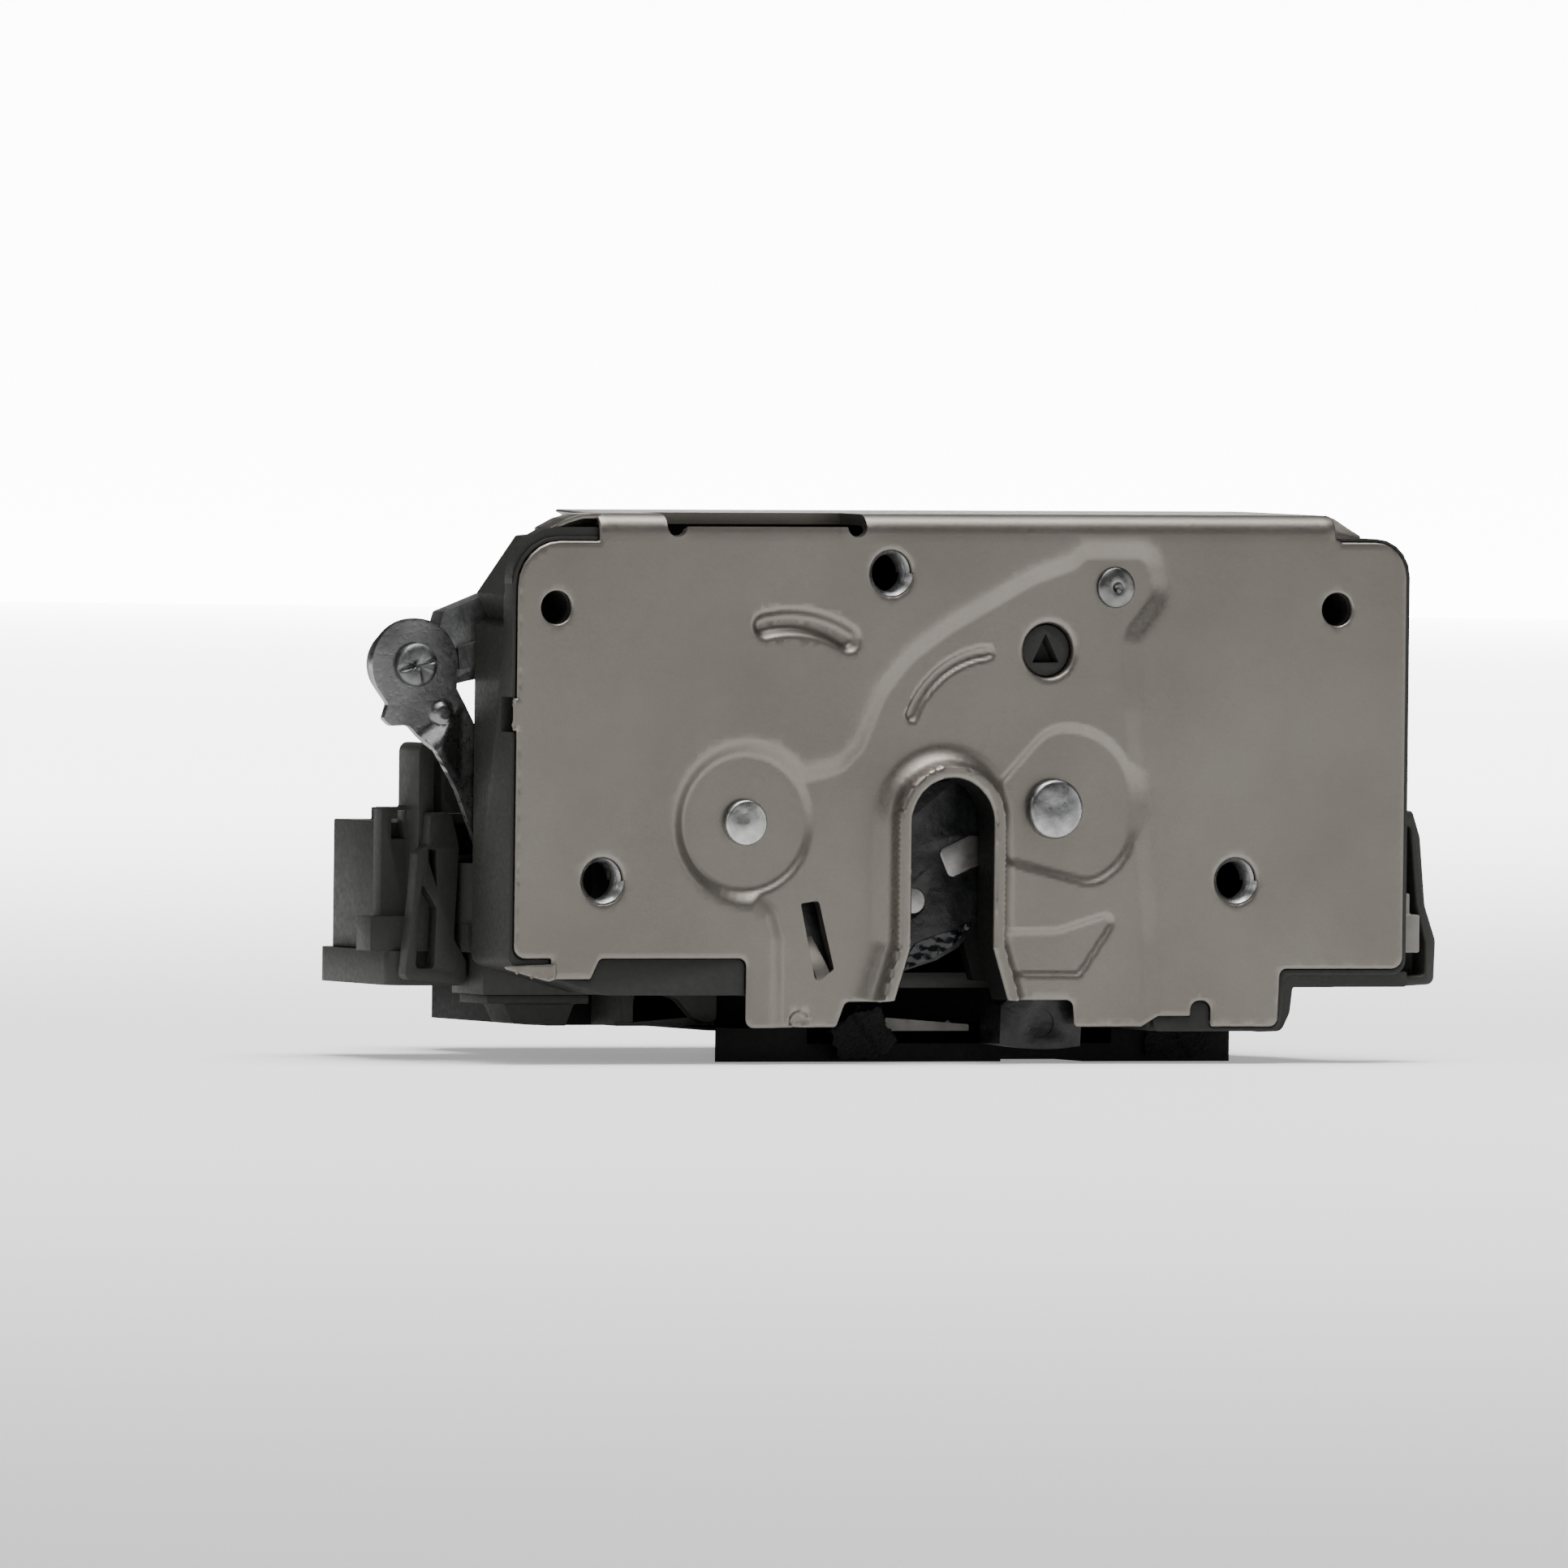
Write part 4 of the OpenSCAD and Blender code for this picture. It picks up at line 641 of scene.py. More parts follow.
def platePress(points, p):
    # how far each point of the sheet is pushed into the door, in mm
    d = np.zeros(len(points))

    def press(path, depth, width):
        nonlocal d
        d = np.maximum(d, depth * ease((depthInside(points, path) + width / 2) / width))

    def well(path, depth, width, inset=0.0):
        # crisp at its floor and fading out into the sheet
        nonlocal d
        u = np.clip((inset - depthInside(points, path)) / width, 0, 1)
        d = np.maximum(d, depth * (1 - u) ** 2 * (1 + u))

    well(channelPath, p["channelDepth"], 2.5, 0.6)
    well(discPath, p["recessDepth"], 2.3, 0.35)
    well(lobePath, p["recessDepth"], 2.7)
    press(longGroove, 1.25, 1.5)
    press(shortGroove, 1.35, 1.3)
    well(pocketPath, p["pocketDepth"], 1.7)
    dimple = np.linalg.norm(points - np.array(p["dimple"]), axis=1)
    d += p["dimpleDepth"] * ease((1.5 - dimple) / 0.5)
    # collar towards the viewer
    t = distanceTo(points, mouthPath())
    rim, wall, run = p["collarRim"], p["collarWall"], p["collarRun"]
    steep = 1 - 0.66 * ease((t - rim) / wall)
    foot = 0.34 * (1 - np.clip((t - rim - wall) / run, 0, 1)) ** 2
    rise = np.where(t < rim, 1, np.where(t < rim + wall, steep, foot))
    fade = ease((points[:, 1] + 25.6) / 2.4)
    d = d * (1 - rise * fade) - p["collarHeight"] * rise * fade
    d += 0.4 * (1 - np.sqrt(np.clip(1 - (1 - np.clip(t / 0.45, 0, 1)) ** 2, 0, 1)))
    # rounded mouths of the holes
    mouths = [(at, p["tapR"], 0.6) for at in p["taps"]]
    mouths += [(at, p["plainR"], 0.25) for at in p["plainHoles"]]
    mouths.append((p["rotorHole"][:2], p["rotorHole"][2], 0.8))
    for (x, z), r, lip in mouths:
        q = np.clip((r + lip - np.linalg.norm(points - np.array([x, z]), axis=1)) / lip, 0, 1)
        d += lip * (1 - np.sqrt(1 - q * q)) * 0.9
    return d


def bendPoint(x, s, depth, p):
    # from the flat sheet to its place: the face, the quarter bend, or the flange
    r, z = p["bendR"], p["bendZ"]
    if s <= z:
        return (x * mm, depth * mm, s * mm)
    angle = (s - z) / r
    if angle < math.pi / 2:
        return (x * mm, (r - (r - depth) * math.cos(angle)) * mm, (z + (r - depth) * math.sin(angle)) * mm)
    return (x * mm, (r + s - z - r * math.pi / 2) * mm, (z + r - depth) * mm)


def notchPath(p, top):
    # the opening in the bend, with a round relief at both ends of its foot
    x0, x1, foot = p["notch"]
    r = p["reliefR"]
    angles = np.radians(np.linspace(182, 358, 11))
    ends = [[(x + r * math.cos(a), foot + r * math.sin(a)) for a in angles] for x in (x0 + r, x1 - r)]
    middle = [(x0 + 2 * r + 0.1, foot), (x1 - 2 * r - 0.1, foot)]
    corners = [(x0, top), (x0, foot + 0.05)], [(x1, foot + 0.05), (x1, top)]
    return np.array(corners[0] + ends[0] + middle + ends[1] + corners[1])


def guardRings(path):
    # two rings of points on both sides of a cut edge
    tangent = np.roll(path, -1, 0) - np.roll(path, 1, 0)
    length = np.linalg.norm(tangent, axis=1)[:, None] + 1e-9
    normal = np.stack([tangent[:, 1], -tangent[:, 0]], 1) / length
    return [path + normal * off * sign for off in (0.12, 0.3) for sign in (1, -1)]


def platePoints(p, outline, holes, bendEnd):
    # finer where the sheet is formed, and in rows across the bend and the flange
    shapes = [(channelPath, 1.7), (discPath, 1.9), (lobePath, 2.4), (pocketPath, 1.6), (slotPath, 0.8)]
    shapes += [(longGroove, 1.1), (shortGroove, 1.0)]
    shapes += [(circlePath(x, z, 3.3), 0.6) for x, z in p["taps"]]
    shapes += [(circlePath(*p["rotorHole"][:2], 4), 0.7), (circlePath(*p["dimple"], 1.2), 0.6)]

    def nearForm(points):
        near = distanceTo(points, mouthPath()) < 4.9
        for path, reach in shapes:
            near |= distanceTo(points, path) < reach
        return near

    step, fineStep = p["grid"], p["fineGrid"]
    coarse = staggered(np.arange(-63, 67, step), np.arange(-28, 37.0, step), step)
    fine = staggered(np.arange(-62, 50, fineStep), np.arange(-28, 37.0, fineStep), fineStep)
    bend = [(x, s) for s in np.linspace(p["bendZ"], bendEnd, 9) for x in np.arange(-49, 56, 1.5)]
    bend += [(x, bendEnd + s) for s in (4, 12, 20) for x in np.arange(-48, 55, 4)]
    points = np.vstack([coarse[~nearForm(coarse)], fine[nearForm(fine)], np.array(bend)])
    points = points[inSheet(points, outline, holes)]
    return points[edgeDistance(points, [outline, *holes]) > 0.42]


def drawIn(obj, near, toY):
    # the border edges for which near() holds get a wall that runs to the depth toY
    activate(obj)
    bpy.ops.object.mode_set(mode="EDIT")
    bpy.ops.mesh.select_mode(type="EDGE")
    bpy.ops.mesh.select_all(action="DESELECT")
    bpy.ops.mesh.select_non_manifold(
        extend=False, use_wire=False, use_boundary=True, use_multi_face=False, use_non_contiguous=False,
        use_verts=False,
    )
    bpy.ops.object.mode_set(mode="OBJECT")
    for e in obj.data.edges:
        if e.select:
            e.select = all(near(obj.data.vertices[v].co / mm) for v in e.vertices)
    chosen = {v for e in obj.data.edges if e.select for v in e.vertices}
    for v in obj.data.vertices:
        v.select = v.index in chosen
    for f in obj.data.polygons:
        f.select = False
    bpy.ops.object.mode_set(mode="EDIT")
    bpy.ops.mesh.extrude_edges_move()
    bpy.ops.object.mode_set(mode="OBJECT")
    for v in obj.data.vertices:
        if v.select:
            v.co.y = toY * mm


def buildPlate(p):
    outline = resample(plateOutline(p), 0.7)
    bendEnd = p["bendZ"] + p["bendR"] * math.pi / 2
    holes = [resample(notchPath(p, bendEnd + 9 - p["bendR"]), 0.8), resample(slotPath, 0.5)]
    holes += [circlePath(x, z, p["tapR"], 40) for x, z in p["taps"]]
    holes += [circlePath(x, z, p["plainR"], 32) for x, z in p["plainHoles"]]
    holes.append(circlePath(*p["rotorHole"], 48))
    points = platePoints(p, outline, holes, bendEnd)
    guards = np.vstack([ring for path in [outline, *holes] for ring in guardRings(path)])
    guards = guards[inSheet(guards, outline, holes)]
    guards = guards[edgeDistance(guards, [outline, *holes]) > 0.1]
    flat, faces = fillSheet(outline, holes, [guards, points])
    # the pressed form, and the edge rolled over except in the mouth
    depth = platePress(flat, p)
    mouthEdge = (np.abs(flat[:, 0]) < 9.4) & (flat[:, 1] < 6.2)
    r = p["edgeRoll"]
    q = np.clip(1 - distanceTo(flat, outline) / r, 0, 1)
    depth += np.where(mouthEdge, 0, r * (1 - np.sqrt(1 - q * q)) * 0.9)
    obj = newMesh("face_plate_sheet", [bendPoint(x, s, d, p) for (x, s), d in zip(flat, depth)], faces)
    frontOut(obj)

    x, z, r = p["rotorHole"]
    drawIn(obj, lambda c: abs(math.hypot(c.x - x, c.z - z) - r) < 0.05, p["windowDeep"])
    thicken(obj, p["thick"]).use_even_offset = False
    applyAll(obj)
    smooth(obj, 50)
    settle(obj, "frame", "zinc_steel", "face_plate")


buildPlate(plate)
print("face plate built")


liner = {"inset": 0.06, "from": -2.05, "to": 2.6, "wall": 0.05}


def mouthLiner(t):
    # a near-black wall just inside the cut edge of the collar: painted shade of the mouth's inner wall,
    # partly grease
    path = mouthPath()[1:-1]
    tangent = np.gradient(path, axis=0)
    inward = np.stack([tangent[:, 1], -tangent[:, 0]], 1) / np.linalg.norm(tangent, axis=1)[:, None]
    if inward[len(path) // 2][1] > 0:
        inward = -inward
    path = path + inward * t["inset"]
    rows = np.linspace(t["from"], t["to"], 5)
    verts = [(x * mm, y * mm, z * mm) for y in rows for x, z in path]
    obj = newMesh("mouthLiner", verts, gridFaces(len(rows), len(path)))
    thicken(obj, t["wall"], 0)
    applyAll(obj)
    smooth(obj, 60)
    settle(obj, "frame", "black_plastic")
    dress(obj, "deepBlack")


mouthLiner(liner)


# carried-over solids with softened edges
softEdges = {
    "cassette_frame": 0.35, "actuator_case": 0.35, "actuator_cover": 0.35, "side_bracket": 0.3,
    "left_clip": 0.3, "right_clip": 0.3, "right_pad": 0.25, "clip_foot": 0.35, "lower_block": 0.35,
    "connector_shroud": 0.35,
    "outer_lever": 0.35, "inner_lever": 0.2, "claw_cover": 0.4, "claw_core": 0.2, "pawl_cover": 0.35,
    "lock_rotor": 0.15, "back_plate": 0.25, "lever_pivot": 0.2,
}
# the back plate and the tray take the near-black finish as painted shade; the pad, block, clip and shroud
# take their own tones
ownFinish = {
    "back_plate": "deepBlack", "actuator_cover": "deepBlack", "right_pad": "palePad",
    "lower_block": "grey_plastic", "right_clip": "grey_plastic", "connector_shroud": "black_plastic",
}
softPieces = {node: softened(node, width) for node, width in softEdges.items()}
for node, name in ownFinish.items():
    dress(softPieces[node], name)


def carve(obj, name, outline, low, high, operation, alongY=True):
    # cut or add a prism, its outline in X and Z where it runs along Y, or in X and Y where it stands on Z
    n = len(outline)
    if alongY:
        verts = [(x * mm, y * mm, z * mm) for y in (low, high) for x, z in outline]
    else:
        verts = [(x * mm, y * mm, z * mm) for z in (low, high) for x, y in outline]
    faces = [tuple(range(n)), tuple(range(2 * n - 1, n - 1, -1))]
    faces += [(i, i + n, (i + 1) % n + n, (i + 1) % n) for i in range(n)]
    tool = newMesh(name, verts, faces)
    editAll(tool, outward)
    change = obj.modifiers.new(name, "BOOLEAN")
    change.operation = operation
    change.solver = "EXACT"
    change.object = tool
    applyAll(obj)
    bpy.data.objects.remove(tool)


# the cassette's upper left corner is bevelled behind its front rim
corner = {"outline": [(-63.5, 28.05), (-55.9, 38.5), (-63.5, 38.5)], "from": 3.2, "to": 13.5}
cassette = softPieces["cassette_frame"]
carve(cassette, "cornerCut", corner["outline"], corner["from"], corner["to"], "DIFFERENCE")
# the tray's lower foot stands back along the lens's own line, so that only its front shows
foot = {
    "start": -33.0, "slope": 0.457, "wall": 1.8,
    "bottom": -31.7, "step": -27.6, "panelTop": -26.9,
    "front": 12.7, "back": 70,
    "hollow": (-25.6, 32, 69.6),  # its left side, front and back
}


def footEdge(y, shift=0.0):
    return (foot["start"] + foot["slope"] * y + shift, y)


left, front, back = foot["hollow"]
wallOutline = [footEdge(y, shift) for y, shift in ((foot["front"], 0), (foot["front"], foot["wall"]))]
wallOutline += [footEdge(y, shift) for y, shift in ((foot["back"], foot["wall"]), (foot["back"], 0))]
panelOutline = [(left, front), footEdge(front, 1), footEdge(back, 1), (left, back)]
cutOutline = [(-30, 11), footEdge(11), footEdge(73), (-30, 73)]
tray = softPieces["actuator_cover"]
carve(tray, "footWall", wallOutline, foot["bottom"] + 0.05, foot["step"] + 0.4, "UNION", False)
carve(tray, "footPanel", panelOutline, foot["step"] - 0.06, foot["panelTop"], "UNION", False)
carve(tray, "footCut", cutOutline, foot["bottom"] - 1, foot["step"], "DIFFERENCE", False)
print("solids softened:", len(softEdges))


# threads in the three tapped holes
thread = {"root": 2.95, "crest": 2.5, "pitch": 1.0, "from": 0.35, "turns": 4, "steps": 40, "skin": 0.35}


def profileLine(name, profile):
    # an open line of (radius, y), to be turned
    edges = [(i, i + 1) for i in range(len(profile) - 1)]
    return newMesh(name, [(r * mm, y * mm, 0) for r, y in profile], [], edges)


def threadTube(name, x, z, t):
    pitch = t["pitch"]
    profile = [(t["root"], 0), (t["crest"] + 0.08, 0.38 * pitch), (t["crest"], 0.5 * pitch),
               (t["crest"] + 0.08, 0.62 * pitch), (t["root"], pitch)]
    obj = profileLine(name, profile)
    screw = obj.modifiers.new("turns", "SCREW")
    screw.axis = "Y"
    screw.angle = 2 * math.pi
    screw.screw_offset = pitch * mm
    screw.iterations = t["turns"]
    screw.steps = screw.render_steps = t["steps"]
    screw.use_merge_vertices = True
    screw.merge_threshold = 0.00002
    applyAll(obj)
    for v in obj.data.vertices:
        v.co += Vector((x, t["from"] - pitch * 0.5, z)) * mm
    mesh = obj.data
    centre = Vector((x, 0, z)) * mm
    if sum(f.normal.dot(centre - f.center) for f in mesh.polygons) < 0:
        mesh.flip_normals()
    thicken(obj, t["skin"])
    applyAll(obj)
    smooth(obj, 30)
    settle(obj, "frame", "rivet_steel")


for i, (x, z) in enumerate(plate["taps"]):
    threadTube("thread_" + str(i), x, z, thread)
print("threads cut")


# rivets and pins
def turned(name, profile, x, z, steps=56):
    # profile of (radius, y) turned about an axis along Y
    obj = profileLine(name, profile)
    spin = obj.modifiers.new("turn", "SCREW")
    spin.axis = "Y"
    spin.steps = spin.render_steps = steps
    spin.use_merge_vertices = True
    spin.merge_threshold = 0.000002
    applyAll(obj)
    editAll(obj, weld, outward)
    for v in obj.data.vertices:
        v.co += Vector((x, 0, z)) * mm
    smooth(obj, 40)
    return obj


def pressed(obj, spots):
    # small hammer marks and dents on a turned face: (x, z, radius, depth)
    for v in obj.data.vertices:
        if v.co.y < 3 * mm:
            for x, z, r, depth in spots:
                d = math.hypot(v.co.x / mm - x, v.co.z / mm - z)
                if d < r:
                    v.co.y += depth * mm * (1 - (d / r) ** 2) ** 2
    return obj


rivets = {
    "pawl_rivet": {
        "at": (-28.5, 0), "r": 3.05, "face": 0.15, "foot": 1.35, "edge": 0.55, "journal": 4.0,
        "dents": [(-29.2, 0.9, 1.6, 0.1)], "finish": "pawlRivetSteel",
    },
    "claw_rivet": {
        "at": (16, 1.8), "r": 3.95, "face": -0.15, "foot": 1.35, "edge": 0.8, "journal": 5.0,
        "dents": [(15.2, 2.6, 2.2, 0.12)], "finish": "rivet_steel",
    },
    "spacer_rivet": {
        "at": (24.4, 30.9), "r": 2.7, "face": 0.05, "foot": 0.8, "edge": 0.45, "journal": 2.2,
        "dents": [], "finish": "spacerSteel",
    },
}


def headProfile(t):
    # a shallow dished face, a quarter round edge and a straight side
    face, edge, flatR = t["face"], t["edge"], t["r"] - t["edge"]
    points = [(flatR * i / 8, face + 0.22 * (i / 8) ** 2 - 0.05) for i in range(9)]
    for a in np.radians(np.linspace(0, 90, 7)[1:]):
        points.append((flatR + edge * math.sin(a), face + 0.17 + edge * (1 - math.cos(a))))
    return points + [(t["r"], t["foot"])]


for name, r in rivets.items():
    profile = headProfile(r)
    if name == "spacer_rivet":
        # centre dimple with a raised lip
        lip = [(0, 0.75), (0.35, 0.6), (0.75, -0.02), (1.1, -0.12), (1.6, -0.02), (2.1, 0.04)]
        profile = [(radius, r["face"] + y) for radius, y in lip] + profile[-7:]
    j = r["journal"]
    profile += [(j * 0.6, r["foot"]), (j * 0.6, 2.8), (j, 2.8), (j, 10.4), (j * 0.72, 10.4)]
    profile += [(j * 0.72, 12.6), (j, 12.6), (j, 13.3), (j - 0.6, 13.7), (0, 13.7)]
    obj = pressed(turned(name + "_turned", profile, *r["at"]), r["dents"])
    settle(obj, "frame", "rivet_steel", name)
    dress(obj, r["finish"])

eyePin = {
    "at": (-70.8, 20.3), "front": 11.55,
    "slotTurn": 13, "slotHalf": 0.24, "slotDeep": 0.42, "sectorDeep": 0.2,
}
y = eyePin["front"]
profile = [(0, y + 0.3), (0.5, y + 0.12), (1.1, y), (2.1, y + 0.02), (2.6, y + 0.15), (2.85, y + 0.5)]
profile += [(2.85, 12.75), (2.4, 12.75), (2.4, 17.8), (3.3, 17.8), (3.3, 18.4), (3.0, 18.7), (0, 18.7)]
pin = turned("lever_pin_turned", profile, *eyePin["at"], 64)
slotTurn = math.radians(eyePin["slotTurn"])
for v in pin.data.vertices:
    # stake mark: a slanting slot and a pressed sector below it
    dx, dz = v.co.x / mm - eyePin["at"][0], v.co.z / mm - eyePin["at"][1]
    if v.co.y < 12.2 * mm:
        across = -dx * math.sin(slotTurn) + dz * math.cos(slotTurn)
        along = dx * math.cos(slotTurn) + dz * math.sin(slotTurn)
        if abs(across) < eyePin["slotHalf"] and abs(along) < 2.7:
            v.co.y += eyePin["slotDeep"] * mm
        elif across < 0 and 0.1 < along < 1.6 and math.hypot(dx, dz) < 2.4:
            v.co.y += eyePin["sectorDeep"] * mm
settle(pin, "lever", "zinc_casting", "lever_pin")
print("rivets turned")


# bent sheet pieces
def sheetPiece(name, outline, holes, step, place, thick, body, slot, *replaced, bevel=0.12):
    # a flat outline filled with a fine mesh, each point then placed by place(x, z) in mm
    outline = resample(outline, step)
    holes = [resample(h, step) for h in holes]
    low, high = outline.min(0), outline.max(0)
    points = staggered(np.arange(low[0], high[0], step), np.arange(low[1], high[1], step * 0.87), step)
    points = points[inSheet(points, outline, holes)]
    points = points[edgeDistance(points, [outline, *holes]) > step * 0.5]
    flat, faces = fillSheet(outline, holes, [points])
    obj = newMesh(name, [tuple(c * mm for c in place(x, z)) for x, z in flat], faces)
    frontOut(obj)
    thicken(obj, thick)
    if bevel:
        breakEdges(obj, bevel, 50)
    applyAll(obj)
    smooth(obj, 45)
    return settle(obj, body, slot, *replaced)


strap = {
    "eye": (-70.8, 20.3),
    "eyeR": 6.1,
    "thick": 1.2,
    "front": 12.75,  # depth of its front face at the eye
    "alongX": 0.578, "alongZ": -0.816,
    "bendOne": 7.3, "bendTwo": 10.6, "step": 1.5, "fall": 0.28,
    "dimple": (-66.9, 14.0), "dimpleR": 1.6, "dimpleHeight": 0.65,
    "rib": (10.2, 16), "ribAcross": 3.4, "ribHeight": 0.4,
    "behind": 12.64, "forward": 1.75, "twist": (-64.2, 4.0),  # where and over what length it comes forward
}


def rise(t):
    return float(ease(np.array(t)))


def strapPlace(x, z):
    s = strap
    along = (x - s["eye"][0]) * s["alongX"] + (z - s["eye"][1]) * s["alongZ"]
    across = -(x - s["eye"][0]) * s["alongZ"] + (z - s["eye"][1]) * s["alongX"]
    up = rise((along - s["bendOne"]) / (s["bendTwo"] - s["bendOne"]))
    down = max(0.0, along - s["bendTwo"])
    y = s["front"] - s["step"] * up + min(s["fall"] * (math.hypot(down, 0.7) - 0.7), s["step"] + 0.1)
    # dimple towards the viewer and the pressed rib
    dx, dz = s["dimple"]
    y -= s["dimpleHeight"] * rise((s["dimpleR"] - math.hypot(x - dx, z - dz)) / 0.75)
    start, end = s["rib"]
    if start < along < end:
        side = rise((0.9 - abs(across - s["ribAcross"])) / 0.7)
        y -= s["ribHeight"] * side * rise((along - start) / 0.8) * rise((end - along) / 0.8)
    # towards the cassette the sheet stays behind it, so that the lifted strap runs free
    edge, length = s["twist"]
    return x, max(y, s["behind"] - s["forward"] * max(0.0, min(1.0, (edge - x) / length))), z


def strapOutline():
    x, z = strap["eye"]
    r = strap["eyeR"]
    angles = np.linspace(math.radians(207), math.radians(-8), 44)
    around = [(x + r * math.cos(a), z + r * math.sin(a)) for a in angles]
    rest = softPath([
        (-64.8, 17.2, 0), (-62.3, 12.6, 1.5), (-61.6, 9.2, 3), (-58.6, 3, 5), (-57.2, -1, 6),
        (-55.8, -10, 1), (-59.6, -10, 1), (-61.8, -3, 6), (-64.6, 4, 5), (-68.6, 9.4, 3),
        (-71.6, 12.4, 1.2), (-74.2, 12.3, 0.6), (-75.2, 13.2, 0.4), (-74.6, 15.2, 0.5), (-76.1, 17.2, 0),
    ])
    return np.array(around + [tuple(q) for q in rest])


sheetPiece(
    "link_strap_bent", strapOutline(), [circlePath(*strap["eye"], 2.5, 40)], 0.36,
    strapPlace, strap["thick"], "strap", "bright_steel", "link_strap",
)
print("strap bent")


# tongue of the lanced slot, and the strip of sheet under the plate's left corner
slotTongue = {
    "top": (-20.0, -11.2), "bottom": (-16.9, -20.6),
    "half": 1.05, "thick": 1.0, "sheet": 0.85, "deep": 3.0, "ramp": 0.8,
}


def tongueStrip(t):
    # a strip that leaves the sheet at the slot's lower end and dips into the door
    ax, az = t["bottom"]
    bx, bz = t["top"]
    length = math.hypot(bx - ax, bz - az)
    ux, uz = (bx - ax) / length, (bz - az) / length
    rows, cols, verts = 26, 5, []
    for i in range(rows):
        k = i / (rows - 1)
        depth = t["deep"] * (1 - math.cos(math.pi * min(1, k / t["ramp"]))) / 2
        for j in range(cols):
            w = t["half"] * (2 * j / (cols - 1) - 1)
            x, z = ax + ux * length * k - uz * w, az + uz * length * k + ux * w
            verts.append((x * mm, (t["sheet"] + depth) * mm, z * mm))
    obj = newMesh("slot_tongue", verts, gridFaces(rows, cols))
    if sum(f.normal.y for f in obj.data.polygons) > 0:
        obj.data.flip_normals()
    thicken(obj, t["thick"])
    breakEdges(obj, 0.1, 30, 1)
    applyAll(obj)
    smooth(obj, 40)
    settle(obj, "frame", "zinc_steel")


tongueStrip(slotTongue)

underLip = {"y": 0.0, "curlX": -56.3, "curl": 0.4, "thick": 0.4}


def lipPlace(x, z):
    y = underLip["y"] - underLip["curl"] * math.exp(-((x - underLip["curlX"]) / 0.4) ** 2)
    return x, y + 0.05 * math.sin(x * 2.1), z


sheetPiece("underLip", softPath([
    (-63.1, -18.75, 0.1), (-62.2, -18.7, 1), (-56.6, -18.5, 0.3), (-55.9, -18.4, 0.2), (-55.8, -20.3, 0.5),
    (-56.9, -20.75, 0.4), (-59.5, -20.1, 3), (-62.9, -19.15, 0.1),
], 4), [], 0.3, lipPlace, underLip["thick"], "frame", "zinc_steel", bevel=0.08)
print("tongue and lip made")


# felt pads
def feltPad(name, node, corners, y0, y1, seed, fold):
    # a torn, folded scrap of felt: a cushion of the pad's outline with creases and a fibrous edge
    rng = np.random.default_rng(seed)
    outline = resample(softPath(corners, 4), 0.35)
    ragged = rng.normal(0, 0.13, len(outline))
    ragged = (ragged + np.roll(ragged, 1)) / 1.5
    centre = outline.mean(0)
    away = outline - centre
    outline = outline + away / np.linalg.norm(away, axis=1)[:, None] * ragged[:, None]
    low, high = outline.min(0), outline.max(0)
    waves = [(rng.uniform(0.5, 1.6), rng.uniform(0, 6.3), rng.uniform(0, 6.3)) for _ in range(7)]

    def place(x, z):
        bumps = sum(math.sin((x * math.cos(d) + z * math.sin(d)) * f + ph) for f, d, ph in waves) / 7
        edge = distanceTo(np.array([[x, z]]), outline)[0]
        swell = (1 - math.exp(-edge / 0.5)) * 0.7
        crease = 0.5 * math.exp(-(((x - fold[0]) * fold[2] + (z - fold[1]) * fold[3]) / 0.35) ** 2)
        return x, y0 + 0.55 - 0.45 * swell - 0.4 * bumps + crease, z

    obj = sheetPiece(name, outline, [], 0.3, place, y1 - y0 - 0.5, "frame", "felt", node, bevel=0)
    for v in obj.data.vertices:
        v.co += Vector(rng.normal(0, 0.05, 3)) * mm


felts = {
    "felt_left_scrap": {
        "node": "felt_pad_left", "front": 9.9, "back": 12.5, "seed": 3, "fold": (-6.5, -28, 0.8, 0.6),
        "corners": [
            (-10.4, -31.2, 0.3), (-11.6, -27.5, 0.4), (-8, -25.2, 0.5), (-4.6, -24.4, 0.3),
            (-3.6, -26.6, 0.4), (-1.8, -28.7, 0.3), (-3.6, -30.6, 0.4), (-6, -31.3, 0.4),
        ],
    },
    "felt_right_scrap": {
        "node": "felt_pad_right", "front": 11.0, "back": 12.6, "seed": 8, "fold": (39.3, -29, 0.75, 0.66),
        "corners": [
            (34.4, -31.2, 0.3), (34.8, -27.4, 0.5), (36.5, -26.5, 0.3), (39.6, -27.1, 0.6),
            (43.3, -26.5, 0.4), (43.8, -28.9, 0.4), (43.1, -31.3, 0.5),
        ],
    },
}
for name, t in felts.items():
    feltPad(name, t["node"], t["corners"], t["front"], t["back"], t["seed"], t["fold"])
print("felt pads torn")


# the curled corners at both ends of the flange
def cornerCurl(name, outline, y0, hollow, thick):
    path = softPath(outline, 4)

    def place(x, z):
        q = np.array([x, z])
        edge = float(distanceTo(q[None, :], path)[0])
        return x, y0 + hollow * (1 - math.exp(-(edge / 0.5) ** 2)), z

    sheetPiece(name, path, [], 0.32, place, thick, "frame", "zinc_steel", bevel=0.1)


cornerCurl("leftCurl", [
    (-49.6, 40.38, 0), (-52.2, 40.3, 3), (-54.4, 39.7, 3), (-56.6, 38.6, 3), (-58.0, 37.75, 0.2),
    (-56.3, 38.2, 3), (-54.2, 39.15, 3), (-52.2, 39.72, 3), (-49.6, 39.75, 0),
], 1.3, 0, 5)
cornerCurl("rightCurl", [
    (55.2, 40.3, 0), (56.8, 39.75, 1.5), (58.6, 38.6, 3), (61.2, 37.25, 0.3), (56.2, 37.25, 0.6),
    (55.6, 38.9, 0.4),
], 1.7, 0.3, 0.6)
print("flange corners curled")


def edgeBand(name, outline, y0, thick, slot, body="frame", step=0.5, bevel=0.2):
    # a flat moulded or cut band with broken edges
    path = softPath(outline, 5)
    return sheetPiece(name, path, [], step, lambda x, z: (x, y0, z), thick, body, slot, bevel=bevel)


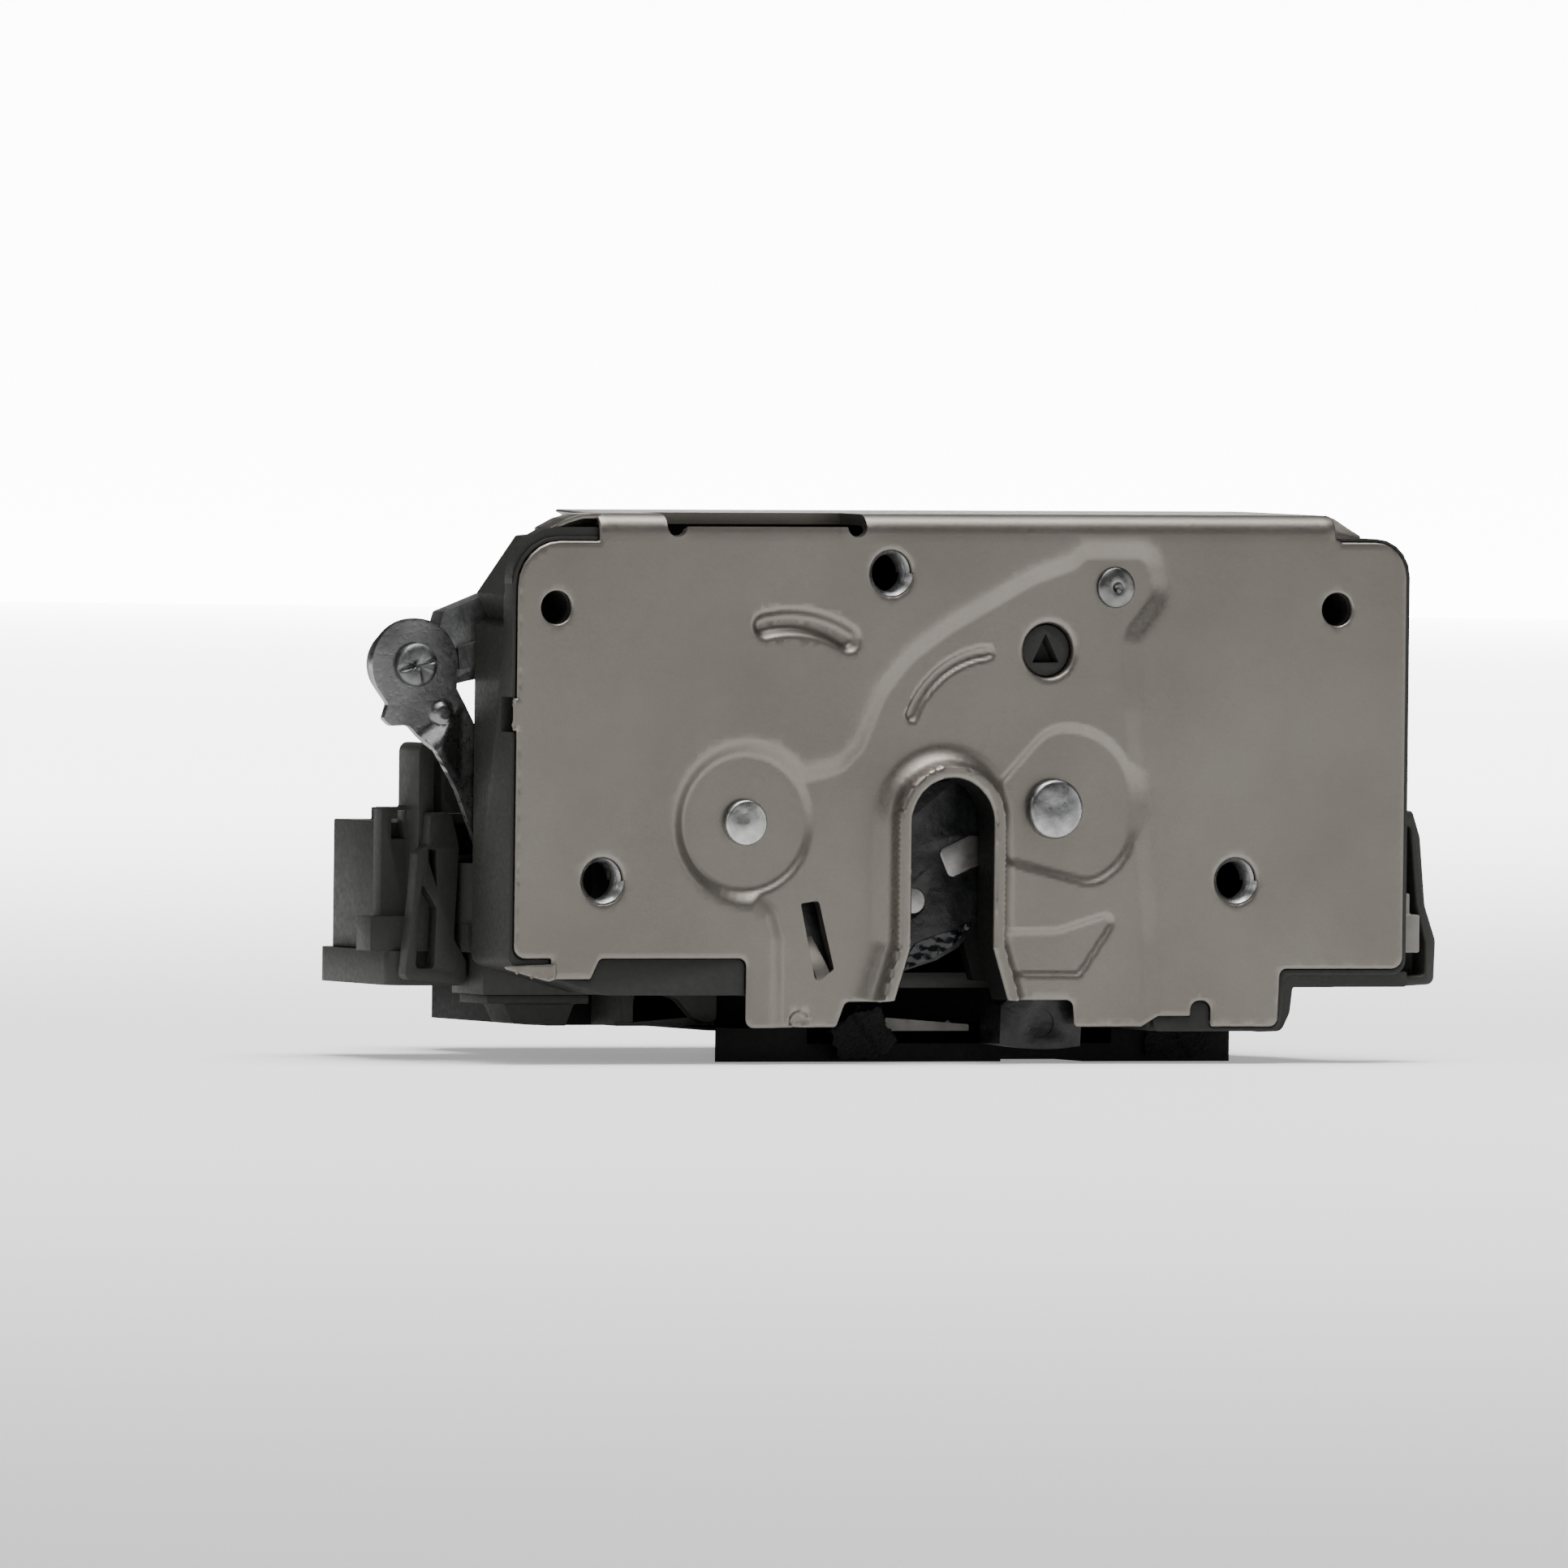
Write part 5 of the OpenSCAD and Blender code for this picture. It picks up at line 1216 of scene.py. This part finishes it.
# the cassette's rim behind the left curl
edgeBand("cornerRim", [
    (-62.4, 31, 0.3), (-62.4, 38.6, 6.4), (-49.4, 38.6, 0.2), (-49.4, 37.1, 0.1), (-61.95, 37.1, 5.9),
    (-61.95, 31, 0.1),
], 0.9, 2.4, "black_plastic")
edgeBand("reliefWall", [
    (-57.2, 38.3, 0), (-55, 39.3, 1), (-52, 40.1, 1), (-49.2, 40.2, 0), (-49.2, 39.6, 0), (-47.6, 39.6, 0),
    (-47.6, 38.3, 0),
], 5.2, 0.8, "zinc_steel", bevel=0.05)
edgeBand("rightEdgeBand", [
    (48.9, -19.6, 0.3), (67.3, -19.6, 0.3), (67.3, -21.6, 0.5), (50.7, -21.6, 0.4), (50.3, -25, 2),
    (49.1, -27.4, 1.2), (45.6, -27.5, 0.2), (45.6, -27.0, 0.1), (48.2, -26.9, 1), (48.9, -24, 1),
], 0.7, 3.4, "black_plastic")
edgeBand("leverBlock", [
    (-64.3, 19.6, 0.3), (-64.5, 22.6, 0.5), (-58.6, 24.3, 0.2), (-58.4, 21.0, 0.2),
], 13.2, 1.5, "zinc_casting", "lever", 0.4, 0.3)
# a pale band on the tray's black front edge: painted light, its tone raised so that it shows bright in the
# shade under the mouth
dress(edgeBand("traySill", [
    (-2.9, -25.9, 0.2), (9.2, -26.8, 0.2), (9.2, -27.65, 0.1), (-2.9, -27.65, 0.1),
], 12.3, 0.7, "black_plastic", bevel=0.1), "palePad")
print("edge bands made")


# grease smeared on the claw's lower edge
smear = {
    "y": 3.26, "lump": 0.2,
    "waves": [(2.1, 0.7, 0.4), (-1.3, 2.6, 1.9), (3.7, -1.9, 0.8), (0.6, 4.9, 2.7)],
}


def smearPlace(x, z):
    height = sum(math.sin(a * x + b * z + c) for a, b, c in smear["waves"]) / 4
    return x, smear["y"] - smear["lump"] * max(0.0, 0.35 + 0.8 * height), z


dress(sheetPiece("clawGrease", softPath([
    (-4.1, -19.2, 0.2), (-0.2, -17.8, 2), (2.7, -16.1, 2), (5.1, -13.7, 0.6), (5.3, -12.7, 0.3),
    (2.8, -14.1, 1), (-0.1, -14.9, 1), (-2.9, -16.0, 0.8), (-4.0, -17.6, 0.4),
], 4), [], 0.22, smearPlace, 0.25, "claw", slotOf["claw_cover"], bevel=0), "grease")
print("claw greased")


# floor and backdrop
def stageMaterial(name, tone):
    material = bpy.data.materials.new(name)
    material.use_nodes = True
    shader = material.node_tree.nodes["Principled BSDF"]
    shader.inputs["Base Color"].default_value = (tone, tone, tone, 1)
    shader.inputs["Emission Color"].default_value = (1, 1, 1, 1)
    return material, shader


def glowRange(tree, value, start, end, low, high):
    # a soft step of the glow between two distances
    step = tree.nodes.new("ShaderNodeMapRange")
    step.interpolation_type = "SMOOTHSTEP"
    for name, number in (("From Min", start), ("From Max", end), ("To Min", low), ("To Max", high)):
        step.inputs[name].default_value = number
    tree.links.new(value, step.inputs["Value"])
    return step.outputs["Result"]


floor = newMesh("floor", [(-3, -3, 0), (3, -3, 0), (3, 3, 0), (-3, 3, 0)], [(0, 1, 2, 3)])
floor.location.z = cadBox[0].z
floorMaterial, floorShader = stageMaterial("paleFloor", 0.93)
floorShader.inputs["Roughness"].default_value = 0.9
tree = floorMaterial.node_tree
place = tree.nodes.new("ShaderNodeTexCoord")
split = tree.nodes.new("ShaderNodeSeparateXYZ")
tree.links.new(place.outputs["Object"], split.inputs["Vector"])
# the floor glows more towards the back, so that it runs into the backdrop without a line,
# and a little towards the lens, so that it stays pale down to the picture's lower edge
glows = [glowRange(tree, split.outputs["Y"], *t) for t in ((0.05, 1.5, 0.32, 5), (-0.3, -2.4, 0, 0.42))]
glowSum = tree.nodes.new("ShaderNodeMath")
glowSum.operation = "ADD"
for i, glow in enumerate(glows):
    tree.links.new(glow, glowSum.inputs[i])
tree.links.new(glowSum.outputs["Value"], floorShader.inputs["Emission Strength"])
floor.data.materials.append(floorMaterial)
# a lit sheet far behind, only as large as the lens sees, so that it throws no light on the sides
sheetCentre = forward * 3.0
sheetEdges = [(-0.4, -0.1), (0.4, -0.1), (0.4, 0.5), (-0.4, 0.5)]
sheetCorners = [sheetCentre + right * u + Vector((0, 0, v)) for u, v in sheetEdges]
backdrop = newMesh("backdrop", sheetCorners, [(0, 1, 2, 3)])
backdropMaterial, backdropShader = stageMaterial("paleBackdrop", 0.9)
backdropShader.inputs["Emission Strength"].default_value = 9
backdrop.data.materials.append(backdropMaterial)
